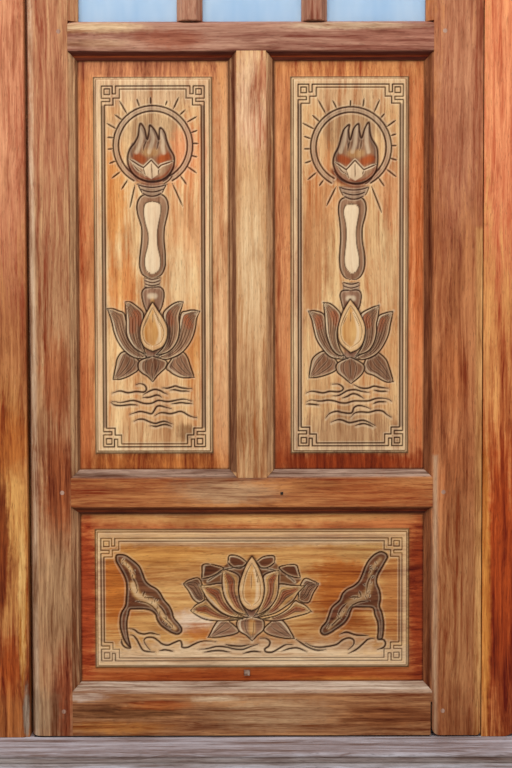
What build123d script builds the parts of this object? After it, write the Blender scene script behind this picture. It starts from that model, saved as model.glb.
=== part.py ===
"""Carved panelled temple door in its own frame, hung on turned pivots.

The leaf's lower left corner is the reference for every place on it: x runs
across the leaf, z up it, and depth is measured back from its front face.
The part's origin is the centre of the sill's underside, with the front at -Y.
"""
from build123d import *
from math import cos, degrees, radians, sin
import os

os.makedirs("parts", exist_ok=True)

# Driving dimensions of the leaf
LEAF_WIDTH = 800.0
LEAF_HEIGHT = 2200.0
LEAF_THICKNESS = 42.0
HANGING_STILE_FACE = 74.0
CLOSING_STILE_FACE = 86.0
BOTTOM_RAIL_FACE = 79.5
LOCK_RAIL_FACE = 51.5
UPPER_RAIL_FACE = 53.0
TOP_RAIL_FACE = 86.0
MUNTIN_FACE = 52.0
MUNTIN_FROM_HANGING_STILE = 294.5
LOWER_PANEL_OPENING = 329.5
UPPER_PANEL_OPENING = 748.5
TENON_LENGTH = 55.0
TENON_THICKNESS = 14.0
STUB_TENON = 30.0
TENON_SHOULDER = 4.0
BOTTOM_TENON_RAISE = 8.0
MORTISE_SPARE = 0.5

# Mouldings and panels
MOULDING_WIDTH = 14.0
MOULDING_QUIRK = 3.0
MOULDING_STEP_DEPTH = 8.5
GROOVE_FRONT = 15.0
GROOVE_WIDTH = 12.0
GROOVE_DEPTH = 10.0
TONGUE_PLAY = 0.2
TONGUE_END_PLAY = 1.0
UPPER_FIELD_INSET = 42.5
LOWER_FIELD_INSET = 40.0
BORDER_RISE = 3.0
FIELD_STEP = 5.0
FIELD_STEP_RISE = 2.5
FIELD_FACE_DEPTH = 5.5

# Glazing
GLASS_THICKNESS = 4.0
GLASS_DEPTH = 20.0
GLASS_PLAY = 1.5
GLASS_LIP = 14.0
HANGING_LIP = 17.0
CLOSING_LIP = 13.0
LIP_SETBACK = 2.0
LIP_BEVEL_DEPTH = 11.0
BAR_FACE = 25.0
BAR_WIDTH = 45.0
BAR_ROUNDING = 1.0
BAR_STEM = 12.0
BAR_TENON = 12.0
BEAD_WIDTH = 10.0
BEAD_DEPTH = 12.0
BEAD_CHAMFER = 5.0

# Frame
HINGE_GAP = 3.0
CLOSING_GAP = 2.0
FLOOR_GAP = 3.0
HEAD_GAP = 3.0
STOP_GAP = 2.0
JAMB_FACE = 68.0
FRAME_DEPTH = 110.0
STOP_WIDTH = 14.0
HEAD_FACE = 80.0
SILL_HEIGHT = 60.0
SILL_PROJECTION = 80.0
SILL_STEP = 12.0
SILL_NOSE_RADIUS = 5.0
SILL_GROOVE_DROPS = (7.0, 16.0)
SILL_GROOVE_WIDTH = 2.4
SILL_GROOVE_DEPTH = 1.8
JAMB_TENON_WIDTH = 34.0
JAMB_TENON_THICKNESS = 28.0
JAMB_FOOT_TENON = 22.0
JAMB_HEAD_TENON = 50.0

# Pivots
HEEL_RADIUS = LEAF_THICKNESS / 2
FOOT_TENON_SIDE = 12.0
SHOE_RADIUS = 11.0
SHOE_HEIGHT = 24.0
SHOE_FLOOR = 4.0
CUP_WALL = 5.0
CUP_FLOOR = 4.0
HEAD_PINTLE_RADIUS = 10.0
HEAD_PINTLE_LENGTH = 20.0
RING_WALL = 4.0
RING_HEIGHT = 18.0
PIVOT_PLAY = 0.3
LIFT_ROOM = 26.0

# Pegs, nail and fixing holes
PEG_RADIUS = 4.0
PEG_FROM_HANGING_SHOULDER = 15.5
PEG_FROM_CLOSING_SHOULDER = 19.0
PEG_PLAY = 0.05
PEG_SIDE_COUNT = 8
FRAME_PEG_RADIUS = 6.0
FRAME_PEG_PAST_TENON = 1.0
NAIL_SHANK = 3.0
NAIL_HEAD_SLOPE = 1.1
PANEL_NAIL_HEAD = 11.0
PANEL_NAIL_LENGTH = 9.0
RAIL_NAIL_HEAD = 5.0
RAIL_NAIL_LENGTH = 24.0
RAIL_NAIL_X = 447.0
RAIL_NAIL_ABOVE_EDGE = 24.0
NAIL_HEAD_HEIGHT = 1.6
PANEL_NAIL_X = 384.5
PANEL_NAIL_ABOVE_RAIL = 29.9
FIXING_HOLE_RADIUS = 3.5
FIXING_HOLES = 3
FIXING_SPACING = 800.0
FIXING_FIRST = 300.0

# Slide bolt on the back of the closing stile
BOLT_HEIGHT = 1100.0
BOLT_PLATE_LENGTH = 66.0
BOLT_PLATE_HEIGHT = 44.0
BOLT_PLATE_THICKNESS = 2.5
BOLT_PLATE_EDGE = 16.0
BOLT_PLATE_CORNER = 3.0
PLATE_NAIL_INSET = 6.5
PLATE_NAIL_HEAD = 6.0
PLATE_NAIL_LENGTH = 16.0
BOLT_BAR_HEIGHT = 14.0
BOLT_BAR_THICKNESS = 9.0
BOLT_BAR_LENGTH = 70.0
BOLT_AXIS_STANDOFF = 16.0
BOLT_BAR_PLAY = 0.3
BOLT_TRAVEL = 26.0
STAPLE_WIDTH = 8.0
STAPLE_WALL = 4.0
STAPLE_FROM_END = 2.0
STAPLE_SPACING = 22.0
KNOB_FROM_END = 6.0
KNOB_STEM = 8.0
KNOB_STEM_LENGTH = 10.0
KNOB_HEAD = 15.0
KNOB_THICKNESS = 7.0
KNOB_CORNER = 3.0
STRIKE_THICKNESS = 2.0
STRIKE_HEIGHT = 56.0
STRIKE_WIDTH = 28.0
STRIKE_SHIFT = 3.0
STRIKE_HOLE_PLAY = 1.0
STRIKE_NAIL_SPACING = 42.0

# Wear that the door shows
WORN_CORNER_INNER = 14.0
WORN_CORNER_OUTER = 8.0
ROT_START = 43.0
ROT_RISE = 12.0
CHIP_HEIGHT = 75.0
CHIP_WIDTH = 9.0
CHIP_DEPTH = 3.0
CHIP_KNEE = 45.0
CHIP_TAPER = 4.5
ROT_KNEE = 8.5
ROT_KNEE_RISE = 4.0
OPEN_JOINT = 2.5
OPEN_JOINT_HEIGHT = 60.0

# Places that follow from the sizes above
SILL_TOP = SILL_HEIGHT
LEAF_FOOT = SILL_TOP + FLOOR_GAP
OPENING_WIDTH = LEAF_WIDTH + HINGE_GAP + CLOSING_GAP
OPENING_TOP = LEAF_FOOT + LEAF_HEIGHT + HEAD_GAP
LEAF_LEFT = HINGE_GAP - OPENING_WIDTH / 2
LEAF_FRONT = (SILL_PROJECTION - FRAME_DEPTH) / 2
STOP_DEPTH = LEAF_THICKNESS + STOP_GAP
FRAME_WIDTH = OPENING_WIDTH + 2 * JAMB_FACE
FRAME_LEFT = -HINGE_GAP - JAMB_FACE
FRAME_RIGHT = LEAF_WIDTH + CLOSING_GAP + JAMB_FACE

HANGING_EDGE = HANGING_STILE_FACE
CLOSING_EDGE = LEAF_WIDTH - CLOSING_STILE_FACE
MUNTIN_LEFT = HANGING_EDGE + MUNTIN_FROM_HANGING_STILE
MUNTIN_RIGHT = MUNTIN_LEFT + MUNTIN_FACE
BOTTOM_RAIL_TOP = BOTTOM_RAIL_FACE
LOCK_RAIL_FOOT = BOTTOM_RAIL_TOP + LOWER_PANEL_OPENING
LOCK_RAIL_TOP = LOCK_RAIL_FOOT + LOCK_RAIL_FACE
UPPER_RAIL_FOOT = LOCK_RAIL_TOP + UPPER_PANEL_OPENING
UPPER_RAIL_TOP = UPPER_RAIL_FOOT + UPPER_RAIL_FACE
TOP_RAIL_FOOT = LEAF_HEIGHT - GLASS_LIP - TOP_RAIL_FACE
TENON_FRONT = (LEAF_THICKNESS - TENON_THICKNESS) / 2
TENON_BACK = TENON_FRONT + TENON_THICKNESS
PIVOT_X = HEEL_RADIUS
PIVOT_DEPTH = HEEL_RADIUS

# Panel openings as left, foot, right and top
LOWER_OPENING = (HANGING_EDGE, BOTTOM_RAIL_TOP, CLOSING_EDGE, LOCK_RAIL_FOOT)
UPPER_LEFT_OPENING = (HANGING_EDGE, LOCK_RAIL_TOP, MUNTIN_LEFT, UPPER_RAIL_FOOT)
UPPER_RIGHT_OPENING = (MUNTIN_RIGHT, LOCK_RAIL_TOP, CLOSING_EDGE, UPPER_RAIL_FOOT)


def at(x, depth, z):
    """A point of the leaf in the part's frame."""
    return Vector(LEAF_LEFT + x, LEAF_FRONT + depth, LEAF_FOOT + z)


def face_plane(depth=0.0, x=0.0, z=0.0):
    """A sketch plane parallel to the leaf's face, seen from the front."""
    return Plane(origin=at(x, depth, z), x_dir=(1, 0, 0), z_dir=(0, -1, 0))


def board(x0, x1, z0, z1, depth0=0.0, depth1=LEAF_THICKNESS, mode=Mode.ADD):
    """A squared block between two corners."""
    with Locations(at((x0 + x1) / 2, (depth0 + depth1) / 2, (z0 + z1) / 2)):
        Box(x1 - x0, depth1 - depth0, z1 - z0, mode=mode)


def bore(x, depth, z, radius, length, direction, mode=Mode.SUBTRACT):
    """A round hole or pin that starts at a point and runs along a direction."""
    start = Plane(origin=at(x, depth, z), z_dir=direction)
    with Locations(start.location):
        Cylinder(radius, length, align=(Align.CENTER, Align.CENTER, Align.MIN), mode=mode)


def pivot_block(side, z0, z1, mode=Mode.ADD):
    """A square block or recess centred on the pivot line."""
    half = side / 2
    depths = (PIVOT_DEPTH - half, PIVOT_DEPTH + half)
    board(PIVOT_X - half, PIVOT_X + half, z0, z1, *depths, mode)


def sloped_block(place, outward, width, height, rise, inset):
    """A low block whose four sides slope in from its foot to its face."""
    across = Vector(0, 0, 1).cross(Vector(*outward))
    foot = Plane(origin=at(*place), x_dir=(0, 0, 1), z_dir=across)
    edges = (inset, inset, height - inset, width - inset)
    with Locations(foot.location):
        Wedge(height, rise, width, *edges, align=(Align.CENTER, Align.MIN, Align.CENTER))


def tenon_height(rail_foot, rail_top):
    """The tenon's foot and top, set in from the rail's edges."""
    return rail_foot + TENON_SHOULDER, rail_top - TENON_SHOULDER


RAIL_TENONS = {
    "bottom": tenon_height(BOTTOM_TENON_RAISE, BOTTOM_RAIL_TOP),
    "lock": tenon_height(LOCK_RAIL_FOOT, LOCK_RAIL_TOP),
    "upper": tenon_height(UPPER_RAIL_FOOT + MOULDING_WIDTH, UPPER_RAIL_TOP),
    "top": tenon_height(TOP_RAIL_FOOT + GLASS_LIP, LEAF_HEIGHT - TENON_SHOULDER),
}


def write(part, name):
    part.label = name
    export_step(part, f"parts/{name}.step")


# Mouldings struck on the edges round the panels

def moulding(length):
    """A mitred run of the panel moulding, with the panel's groove in it.

    It runs along +X from the corner, its member lies below it, and the
    nose points to +Z. Both faces of the door have the same profile.
    """
    middle = LEAF_THICKNESS / 2
    step_x = MOULDING_WIDTH / 2
    nose = GROOVE_FRONT - MOULDING_QUIRK / 2
    with BuildPart() as run:
        with BuildSketch(Plane(origin=(0, 0, 0), x_dir=(0, 0, 1), z_dir=(1, 0, 0))):
            with BuildLine():
                quirk = Line((0, -middle), (0, -MOULDING_QUIRK))
                round_nose = RadiusArc(quirk @ 1, (step_x, -MOULDING_STEP_DEPTH), MOULDING_WIDTH)
                Polyline(
                    round_nose @ 1,
                    (step_x, -MOULDING_STEP_DEPTH - MOULDING_QUIRK / 2),
                    (MOULDING_WIDTH, -nose),
                    (MOULDING_WIDTH, -GROOVE_FRONT),
                    (MOULDING_WIDTH - GROOVE_DEPTH, -GROOVE_FRONT),
                    (MOULDING_WIDTH - GROOVE_DEPTH, -middle),
                    (0, -middle),
                )
            make_face()
            mirror(about=Plane.XZ.offset(middle))
        extrude(amount=length)
        with BuildSketch(Plane.XZ):
            Polygon(
                (0, 0),
                (length, 0),
                (length - MOULDING_WIDTH, MOULDING_WIDTH),
                (MOULDING_WIDTH, MOULDING_WIDTH),
                align=None,
            )
        extrude(amount=LEAF_THICKNESS, both=True, mode=Mode.INTERSECT)
    return run.part


def add_moulding(run, opening, side):
    """Fuses a run to the member on one side of an opening."""
    left, foot, right, top = opening
    starts = {
        "foot": ((left, foot), 0),
        "left": ((left, top), 90),
        "top": ((right, top), 180),
        "right": ((right, foot), -90),
    }
    (x, z), turn = starts[side]
    with Locations(Location(at(x, 0, z), (0, turn, 0))):
        add(run)


across_run = {}
up_run = {}
for opening in (LOWER_OPENING, UPPER_LEFT_OPENING, UPPER_RIGHT_OPENING):
    across_run[opening] = moulding(opening[2] - opening[0])
    up_run[opening] = moulding(opening[3] - opening[1])


def glazing_lip(width):
    """The lip that the glass lies against, as outline points across and in depth."""
    return [
        (0, LIP_SETBACK),
        (width, LIP_BEVEL_DEPTH),
        (width, GLASS_DEPTH),
        (0, GLASS_DEPTH),
    ]


# Leaf: stiles, rails and muntin

def cut_mortises(edge, inward):
    """Mortises for the four rails in a stile whose inner edge is at x = edge."""
    depth_in = TENON_LENGTH + MORTISE_SPARE
    for tenon_foot, tenon_top in RAIL_TENONS.values():
        x0, x1 = sorted((edge, edge + inward * depth_in))
        board(x0, x1, tenon_foot, tenon_top, TENON_FRONT, TENON_BACK, Mode.SUBTRACT)


PEG_HEIGHTS = [(tenon_foot + tenon_top) / 2 for tenon_foot, tenon_top in RAIL_TENONS.values()]
PEG_PLACES = [(HANGING_EDGE - PEG_FROM_HANGING_SHOULDER, z) for z in PEG_HEIGHTS]
PEG_PLACES += [(CLOSING_EDGE + PEG_FROM_CLOSING_SHOULDER, z) for z in PEG_HEIGHTS]


def peg_shape(places, radius, length, mode):
    """Whittled pegs with eight flats, or the holes that they are driven into."""
    with BuildSketch(face_plane()) as flats:
        with Locations(*places):
            RegularPolygon(radius, PEG_SIDE_COUNT)
    extrude(flats.sketch, amount=-length, mode=mode)


def cut_peg_holes(places):
    peg_shape(places, PEG_RADIUS + PEG_PLAY, LEAF_THICKNESS, Mode.SUBTRACT)


def nail_shank(nail, mode=Mode.SUBTRACT):
    """A nail's square shank, or the hole that it sits in."""
    place, direction, length = nail
    with BuildSketch(Plane(origin=at(*place), z_dir=direction)) as square:
        Rectangle(NAIL_SHANK, NAIL_SHANK)
    extrude(square.sketch, amount=length, mode=mode)


def forged_nail(nail, head):
    """A forged nail with a four-sided head that rests on the wood or plate."""
    place, direction, length = nail
    nail_shank(nail, Mode.ADD)
    outward = tuple(-part for part in direction)
    sloped_block(place, outward, head, head, NAIL_HEAD_HEIGHT, NAIL_HEAD_SLOPE)


def stile_lip(edge, inward, width):
    """Adds the glass lip along a stile, from the upper rail to the top rail."""
    start = at(edge, 0, UPPER_RAIL_TOP)
    outline = [(inward * u, depth) for u, depth in glazing_lip(width)]
    with BuildSketch(Plane(origin=start, x_dir=(1, 0, 0), z_dir=(0, 0, 1))) as section:
        Polygon(*outline, align=None)
    extrude(section.sketch, amount=TOP_RAIL_FOOT - UPPER_RAIL_TOP)


with BuildPart() as hanging_stile:
    with BuildSketch(Plane(origin=at(0, 0, 0), x_dir=(1, 0, 0), z_dir=(0, 0, 1))):
        with Locations((HEEL_RADIUS, HEEL_RADIUS)):
            Circle(HEEL_RADIUS)
        with Locations((HEEL_RADIUS, 0)):
            Rectangle(HANGING_EDGE - HEEL_RADIUS, LEAF_THICKNESS, align=Align.MIN)
    extrude(amount=LEAF_HEIGHT)
    add_moulding(up_run[LOWER_OPENING], LOWER_OPENING, "left")
    add_moulding(up_run[UPPER_LEFT_OPENING], UPPER_LEFT_OPENING, "left")
    stile_lip(HANGING_EDGE, 1, HANGING_LIP)
    pivot_block(FOOT_TENON_SIDE, SHOE_FLOOR - SHOE_HEIGHT, 0)
    bore(PIVOT_X, PIVOT_DEPTH, LEAF_HEIGHT, HEAD_PINTLE_RADIUS, HEAD_PINTLE_LENGTH, (0, 0, 1), Mode.ADD)
    cut_mortises(HANGING_EDGE, -1)
    cut_peg_holes(PEG_PLACES)
write(hanging_stile.part, "hanging_stile")

BOLT_PLATE_RIGHT = LEAF_WIDTH - BOLT_PLATE_EDGE
BOLT_PLATE_LEFT = BOLT_PLATE_RIGHT - BOLT_PLATE_LENGTH
BOLT_AXIS_DEPTH = LEAF_THICKNESS + BOLT_AXIS_STANDOFF

PLATE_BACK = LEAF_THICKNESS + BOLT_PLATE_THICKNESS
PLATE_NAILS = [
    ((x, PLATE_BACK, BOLT_HEIGHT + side * (BOLT_PLATE_HEIGHT / 2 - PLATE_NAIL_INSET)), (0, -1, 0), PLATE_NAIL_LENGTH)
    for x in (BOLT_PLATE_LEFT + PLATE_NAIL_INSET, BOLT_PLATE_RIGHT - PLATE_NAIL_INSET)
    for side in (-1, 1)
]

def bolt_bar(x0, x1, play=0.0, mode=Mode.ADD):
    """The bolt's flat bar between two places, or the room for it."""
    half_height = BOLT_BAR_HEIGHT / 2 + play
    half_depth = BOLT_BAR_THICKNESS / 2 + play
    depths = (BOLT_AXIS_DEPTH - half_depth, BOLT_AXIS_DEPTH + half_depth)
    board(x0, x1, BOLT_HEIGHT - half_height, BOLT_HEIGHT + half_height, *depths, mode)


with BuildPart() as closing_stile:
    board(CLOSING_EDGE, LEAF_WIDTH, 0, LEAF_HEIGHT)
    foot_edges = closing_stile.edges().filter_by(Axis.Y).group_by(Axis.Z)[0].sort_by(Axis.X)
    fillet(foot_edges[0], radius=WORN_CORNER_INNER)
    foot_edges = closing_stile.edges().filter_by(Axis.Y).group_by(Axis.Z)[0].sort_by(Axis.X)
    fillet(foot_edges[-1], radius=WORN_CORNER_OUTER)
    add_moulding(up_run[LOWER_OPENING], LOWER_OPENING, "right")
    add_moulding(up_run[UPPER_RIGHT_OPENING], UPPER_RIGHT_OPENING, "right")
    stile_lip(CLOSING_EDGE, -1, CLOSING_LIP)
    cut_mortises(CLOSING_EDGE, 1)
    cut_peg_holes(PEG_PLACES)
    for nail in PLATE_NAILS:
        nail_shank(nail)
write(closing_stile.part, "closing_stile")


def rail_tenons(tenon):
    """A tenon at each end of a rail."""
    tenon_foot, tenon_top = tenon
    for shoulder, inward in ((HANGING_EDGE, -1), (CLOSING_EDGE, 1)):
        x0, x1 = sorted((shoulder, shoulder + inward * TENON_LENGTH))
        board(x0, x1, tenon_foot, tenon_top, TENON_FRONT, TENON_BACK)


def rail_lip(z, inward):
    """The glass lip along a rail's edge at height z, pointing up or down."""
    outline = [(depth, inward * u) for u, depth in glazing_lip(GLASS_LIP)]
    outline[0] = (0, 0)
    outline.insert(1, (0, inward * GLASS_LIP / 2))
    section_plane = Plane(origin=at(HANGING_EDGE, 0, z), x_dir=(0, 1, 0), z_dir=(1, 0, 0))
    with BuildSketch(section_plane) as section:
        Polygon(*outline, align=None)
    extrude(section.sketch, amount=CLOSING_EDGE - HANGING_EDGE)


GLASS_FOOT = UPPER_RAIL_TOP - GLASS_LIP
GLASS_TOP = TOP_RAIL_FOOT + GLASS_LIP
GLAZED_LEFT = HANGING_EDGE + HANGING_LIP
GLAZED_RIGHT = CLOSING_EDGE - CLOSING_LIP
PANE_SIGHT = (GLAZED_RIGHT - GLAZED_LEFT - 2 * BAR_WIDTH) / 3
BAR_CENTRES = [GLAZED_LEFT + PANE_SIGHT + BAR_WIDTH / 2 + i * (PANE_SIGHT + BAR_WIDTH) for i in (0, 1)]


def cut_bar_mortises(z, upward):
    z0, z1 = sorted((z, z + upward * (BAR_TENON + MORTISE_SPARE)))
    for centre in BAR_CENTRES:
        x0 = centre - BAR_STEM / 2
        board(x0, x0 + BAR_STEM, z0, z1, GLASS_DEPTH, LEAF_THICKNESS - BEAD_CHAMFER, Mode.SUBTRACT)


def cut_muntin_mortise(z, upward):
    z0, z1 = sorted((z, z + upward * (STUB_TENON + MORTISE_SPARE)))
    x0 = MUNTIN_LEFT + TENON_SHOULDER
    x1 = MUNTIN_RIGHT - TENON_SHOULDER
    board(x0, x1, z0, z1, TENON_FRONT, TENON_BACK, Mode.SUBTRACT)


with BuildPart() as bottom_rail:
    board(HANGING_EDGE, CLOSING_EDGE, 0, BOTTOM_RAIL_TOP)
    add_moulding(across_run[LOWER_OPENING], LOWER_OPENING, "foot")
    board(CLOSING_EDGE - OPEN_JOINT, CLOSING_EDGE, 0, OPEN_JOINT_HEIGHT, mode=Mode.SUBTRACT)
    rail_tenons(RAIL_TENONS["bottom"])
    cut_peg_holes(PEG_PLACES)
write(bottom_rail.part, "bottom_rail")

RAIL_NAIL = ((RAIL_NAIL_X, 0, LOCK_RAIL_FOOT + RAIL_NAIL_ABOVE_EDGE), (0, 1, 0), RAIL_NAIL_LENGTH)

with BuildPart() as lock_rail:
    board(HANGING_EDGE, CLOSING_EDGE, LOCK_RAIL_FOOT, LOCK_RAIL_TOP)
    add_moulding(across_run[LOWER_OPENING], LOWER_OPENING, "top")
    add_moulding(across_run[UPPER_LEFT_OPENING], UPPER_LEFT_OPENING, "foot")
    add_moulding(across_run[UPPER_RIGHT_OPENING], UPPER_RIGHT_OPENING, "foot")
    rail_tenons(RAIL_TENONS["lock"])
    cut_muntin_mortise(LOCK_RAIL_TOP, -1)
    cut_peg_holes(PEG_PLACES)
    nail_shank(RAIL_NAIL)
write(lock_rail.part, "lock_rail")

with BuildPart() as upper_rail:
    board(HANGING_EDGE, CLOSING_EDGE, UPPER_RAIL_FOOT, GLASS_FOOT)
    rail_lip(GLASS_FOOT, 1)
    add_moulding(across_run[UPPER_LEFT_OPENING], UPPER_LEFT_OPENING, "top")
    add_moulding(across_run[UPPER_RIGHT_OPENING], UPPER_RIGHT_OPENING, "top")
    rail_tenons(RAIL_TENONS["upper"])
    cut_muntin_mortise(UPPER_RAIL_FOOT, 1)
    cut_bar_mortises(GLASS_FOOT, -1)
    cut_peg_holes(PEG_PLACES)
write(upper_rail.part, "upper_rail")

with BuildPart() as top_rail:
    board(HANGING_EDGE, CLOSING_EDGE, GLASS_TOP, LEAF_HEIGHT)
    rail_lip(GLASS_TOP, -1)
    rail_tenons(RAIL_TENONS["top"])
    cut_bar_mortises(GLASS_TOP, 1)
    cut_peg_holes(PEG_PLACES)
write(top_rail.part, "top_rail")

with BuildPart() as muntin:
    board(MUNTIN_LEFT, MUNTIN_RIGHT, LOCK_RAIL_TOP, UPPER_RAIL_FOOT)
    add_moulding(up_run[UPPER_LEFT_OPENING], UPPER_LEFT_OPENING, "right")
    add_moulding(up_run[UPPER_RIGHT_OPENING], UPPER_RIGHT_OPENING, "left")
    tenon_left = MUNTIN_LEFT + TENON_SHOULDER
    tenon_right = MUNTIN_RIGHT - TENON_SHOULDER
    for z0, z1 in (
        (LOCK_RAIL_TOP - STUB_TENON, LOCK_RAIL_TOP),
        (UPPER_RAIL_FOOT, UPPER_RAIL_FOOT + STUB_TENON),
    ):
        board(tenon_left, tenon_right, z0, z1, TENON_FRONT, TENON_BACK)
write(muntin.part, "muntin")

# Carving. Points are (x, z) from the motif's centre line and the leaf's foot.
# Half a motif is drawn where the other half mirrors it, and each outline is
# a ring of strokes that meet in points.

FRET_DEPTH = 1.5
LINE_WIDTH = 2.6
LINE_DEPTH = 1.8
BAND_DEPTH = 1.8
POCKET_DEPTH = 2.6
FRET_OUTER = ((8, 36.5), (22.5, 36.5), (22.5, 30.5), (8, 30.5), (8, 9), (27, 9), (27, 23), (32.5, 23), (32.5, 9))
FRET_INNER = ((13, 42.5), (28, 42.5), (28, 30.5), (39.5, 30.5), (39.5, 14.5))
FRET_CELL = 9.0
FRET_CELL_CENTRE = (17.5, 19.5)
UPPER_LEFT_MOTIF_X = 220.5
UPPER_RIGHT_MOTIF_X = 571.0
LOWER_MOTIF_X = 393.0
UPPER_LEFT_FIELD_DRAWN = 223.0
UPPER_RIGHT_FIELD_DRAWN = 568.0
LOWER_FIELD_DRAWN = 396.0
UPPER_FIELD_DRAWN_Z = 833.5
LOWER_FIELD_DRAWN_Z = 243.0

HALO_Z = 1043.5
HALO_INNER_RADIUS = 60.5
HALO_OUTER_RADIUS = 70.0
HALO_GAP_HALF_ANGLE = 33.0
RAY_GAP = 2.0
RAY_ROOT = 3.4
RAYS = (
    (129, 25), (109, 15), (93, 13), (72, 8), (61, 22), (48, 13), (34, 20), (19, 11), (3, 10),
    (-14, 11), (-31, 20), (-48, 18), (-63, 44), (-115, 42), (-127, 20), (-142, 19), (-158, 12),
    (-176, 9), (168, 11), (155, 19), (140, 16),
)

LEFT_FLAME = (
    (
        ((-43, 1022), (-38, 1044), (-20.4, 1083.6)),
        ((-20.4, 1083.6), (-13, 1074), (-9, 1056.4)),
        ((-9, 1056.4), (-4.2, 1080.7)),
        ((-4.2, 1080.7), (12.5, 1059.3)),
        ((12.5, 1059.3), (13.9, 1076)),
        ((13.9, 1076), (28, 1050), (37, 1022)),
        ((37, 1022), (11, 1007)),
        ((11, 1007), (-2, 1020)),
        ((-2, 1020), (-15, 1008)),
        ((-15, 1008), (-43, 1022)),
    ),
    (
        ((-42, 1012), (-4, 982), (37, 1012)),
        ((37, 1012), (-4, 987.5), (-42, 1012)),
    ),
)
RIGHT_FLAME = (
    (
        ((-33, 1017), (-24, 1046), (-4.5, 1081)),
        ((-4.5, 1081), (-3, 1054)),
        ((-3, 1054), (3, 1072), (11.7, 1082.6)),
        ((11.7, 1082.6), (17, 1057)),
        ((17, 1057), (21, 1072), (29.8, 1085)),
        ((29.8, 1085), (40, 1048), (44.8, 1014)),
        ((44.8, 1014), (21, 1003)),
        ((21, 1003), (5.5, 1019)),
        ((5.5, 1019), (-10, 1003)),
        ((-10, 1003), (-33, 1017)),
    ),
    (
        ((-32, 1006), (6, 977), (44, 1006)),
        ((44, 1006), (6, 983), (-32, 1006)),
    ),
)
HANDLE = (
    (
        ((0, 958), (-17, 958)),
        ((-17, 958), (-27, 938), (-20, 892)),
        ((-20, 892), (-22.5, 838)),
        ((-22.5, 838), (0, 812)),
        ((0, 812), (0, 819)),
        ((0, 819), (-14, 838)),
        ((-14, 838), (-8, 884), (-15, 928)),
        ((-15, 928), (-12, 945)),
        ((-12, 945), (0, 945)),
        ((0, 945), (0, 958)),
    ),
    (
        ((0, 795), (-13, 795)),
        ((-13, 795), (-18.5, 784), (-13, 761)),
        ((-13, 761), (0, 780)),
        ((0, 780), (0, 795)),
    ),
    (
        ((-22, 975), (0, 965), (22, 975)),
        ((22, 975), (0, 961), (-22, 975)),
    ),
)
NECK_RINGS = ((806.0, 31.0), (801.0, 29.0))
NECK_RING_HEIGHT = 2.4
UPPER_DROP = (
    ((0, 772), (-22, 724)),
    ((-22, 724), (-17, 694), (0, 685)),
    ((0, 685), (0, 693)),
    ((0, 693), (-13, 701), (-16, 724)),
    ((-16, 724), (0, 762)),
    ((0, 762), (0, 772)),
)
UPPER_PETALS = (
    (
        ((-77, 757), (-52, 748)),
        ((-52, 748), (-49, 714), (-24, 679)),
        ((-24, 679), (-58, 697), (-77, 757)),
    ),
    (
        ((-46, 769), (-22, 753)),
        ((-22, 753), (-28, 718), (-11, 684)),
        ((-11, 684), (-38, 706), (-46, 769)),
    ),
    (
        ((-69, 638), (-62, 660), (-51, 678)),
        ((-51, 678), (-31, 653)),
        ((-31, 653), (-48, 641), (-69, 638)),
    ),
    (
        ((0, 634), (-12, 646), (-23, 660)),
        ((-23, 660), (0, 671)),
        ((0, 671), (0, 634)),
    ),
)
UPPER_WAVES = (
    (((-73, 611), (-14, 616)),),
    (((-17, 608), (4, 613), (25, 609)),),
    (((-75, 595), (-39, 599), (-4, 593)), ((-4, 593), (32, 599), (68, 596))),
    (((-42, 573), (-24, 577), (-4, 573)),),
    (((3, 570.7), (37, 578), (76, 567.4)),),
    (((-34, 560), (-16, 564), (33, 556)),),
)

LOWER_DROP = (
    ((0, 318), (-21, 268)),
    ((-21, 268), (-16, 234), (0, 224)),
    ((0, 224), (0, 231)),
    ((0, 231), (-11, 242), (-14, 268)),
    ((-14, 268), (0, 306)),
    ((0, 306), (0, 318)),
)
LOWER_PETALS = (
    (
        ((-88, 265), (-54, 265)),
        ((-54, 265), (-47, 244), (-32, 224)),
        ((-32, 224), (-62, 234), (-88, 265)),
    ),
    (
        ((-49, 292), (-26, 283)),
        ((-26, 283), (-26, 252), (-14, 222)),
        ((-14, 222), (-42, 244), (-49, 292)),
    ),
    (
        ((-105, 223), (-82, 238)),
        ((-82, 238), (-48, 211)),
        ((-48, 211), (-78, 210), (-105, 223)),
    ),
    (
        ((-118, 270), (-96, 275)),
        ((-96, 275), (-104, 245)),
        ((-104, 245), (-118, 270)),
    ),
    (
        ((-84, 283), (-84, 301)),
        ((-84, 301), (-56, 297)),
        ((-56, 297), (-84, 283)),
    ),
    (
        ((-37, 304), (-36, 317)),
        ((-36, 317), (-10, 306)),
        ((-10, 306), (-37, 304)),
    ),
    (
        ((-74, 178), (-60, 201)),
        ((-60, 201), (-26, 193)),
        ((-26, 193), (-48, 181), (-74, 178)),
    ),
    (
        ((0, 172), (-11, 183), (-22, 200)),
        ((-22, 200), (0, 203)),
        ((0, 203), (0, 172)),
    ),
)
HAND = (
    ((-240, 321), (-208, 312)),
    ((-208, 312), (-188, 276)),
    ((-188, 276), (-155, 244), (-136, 202)),
    ((-136, 202), (-130, 187)),
    ((-130, 187), (-141, 185)),
    ((-141, 185), (-168, 211)),
    ((-168, 211), (-186, 223)),
    ((-186, 223), (-217, 224)),
    ((-217, 224), (-222, 188), (-216, 156)),
    ((-216, 156), (-232, 194)),
    ((-232, 194), (-223, 240)),
    ((-223, 240), (-224, 284), (-240, 321)),
)
PALM = (
    ((-212, 288), (-206, 246), (-170, 220)),
    ((-170, 220), (-182, 258), (-212, 288)),
)
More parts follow.
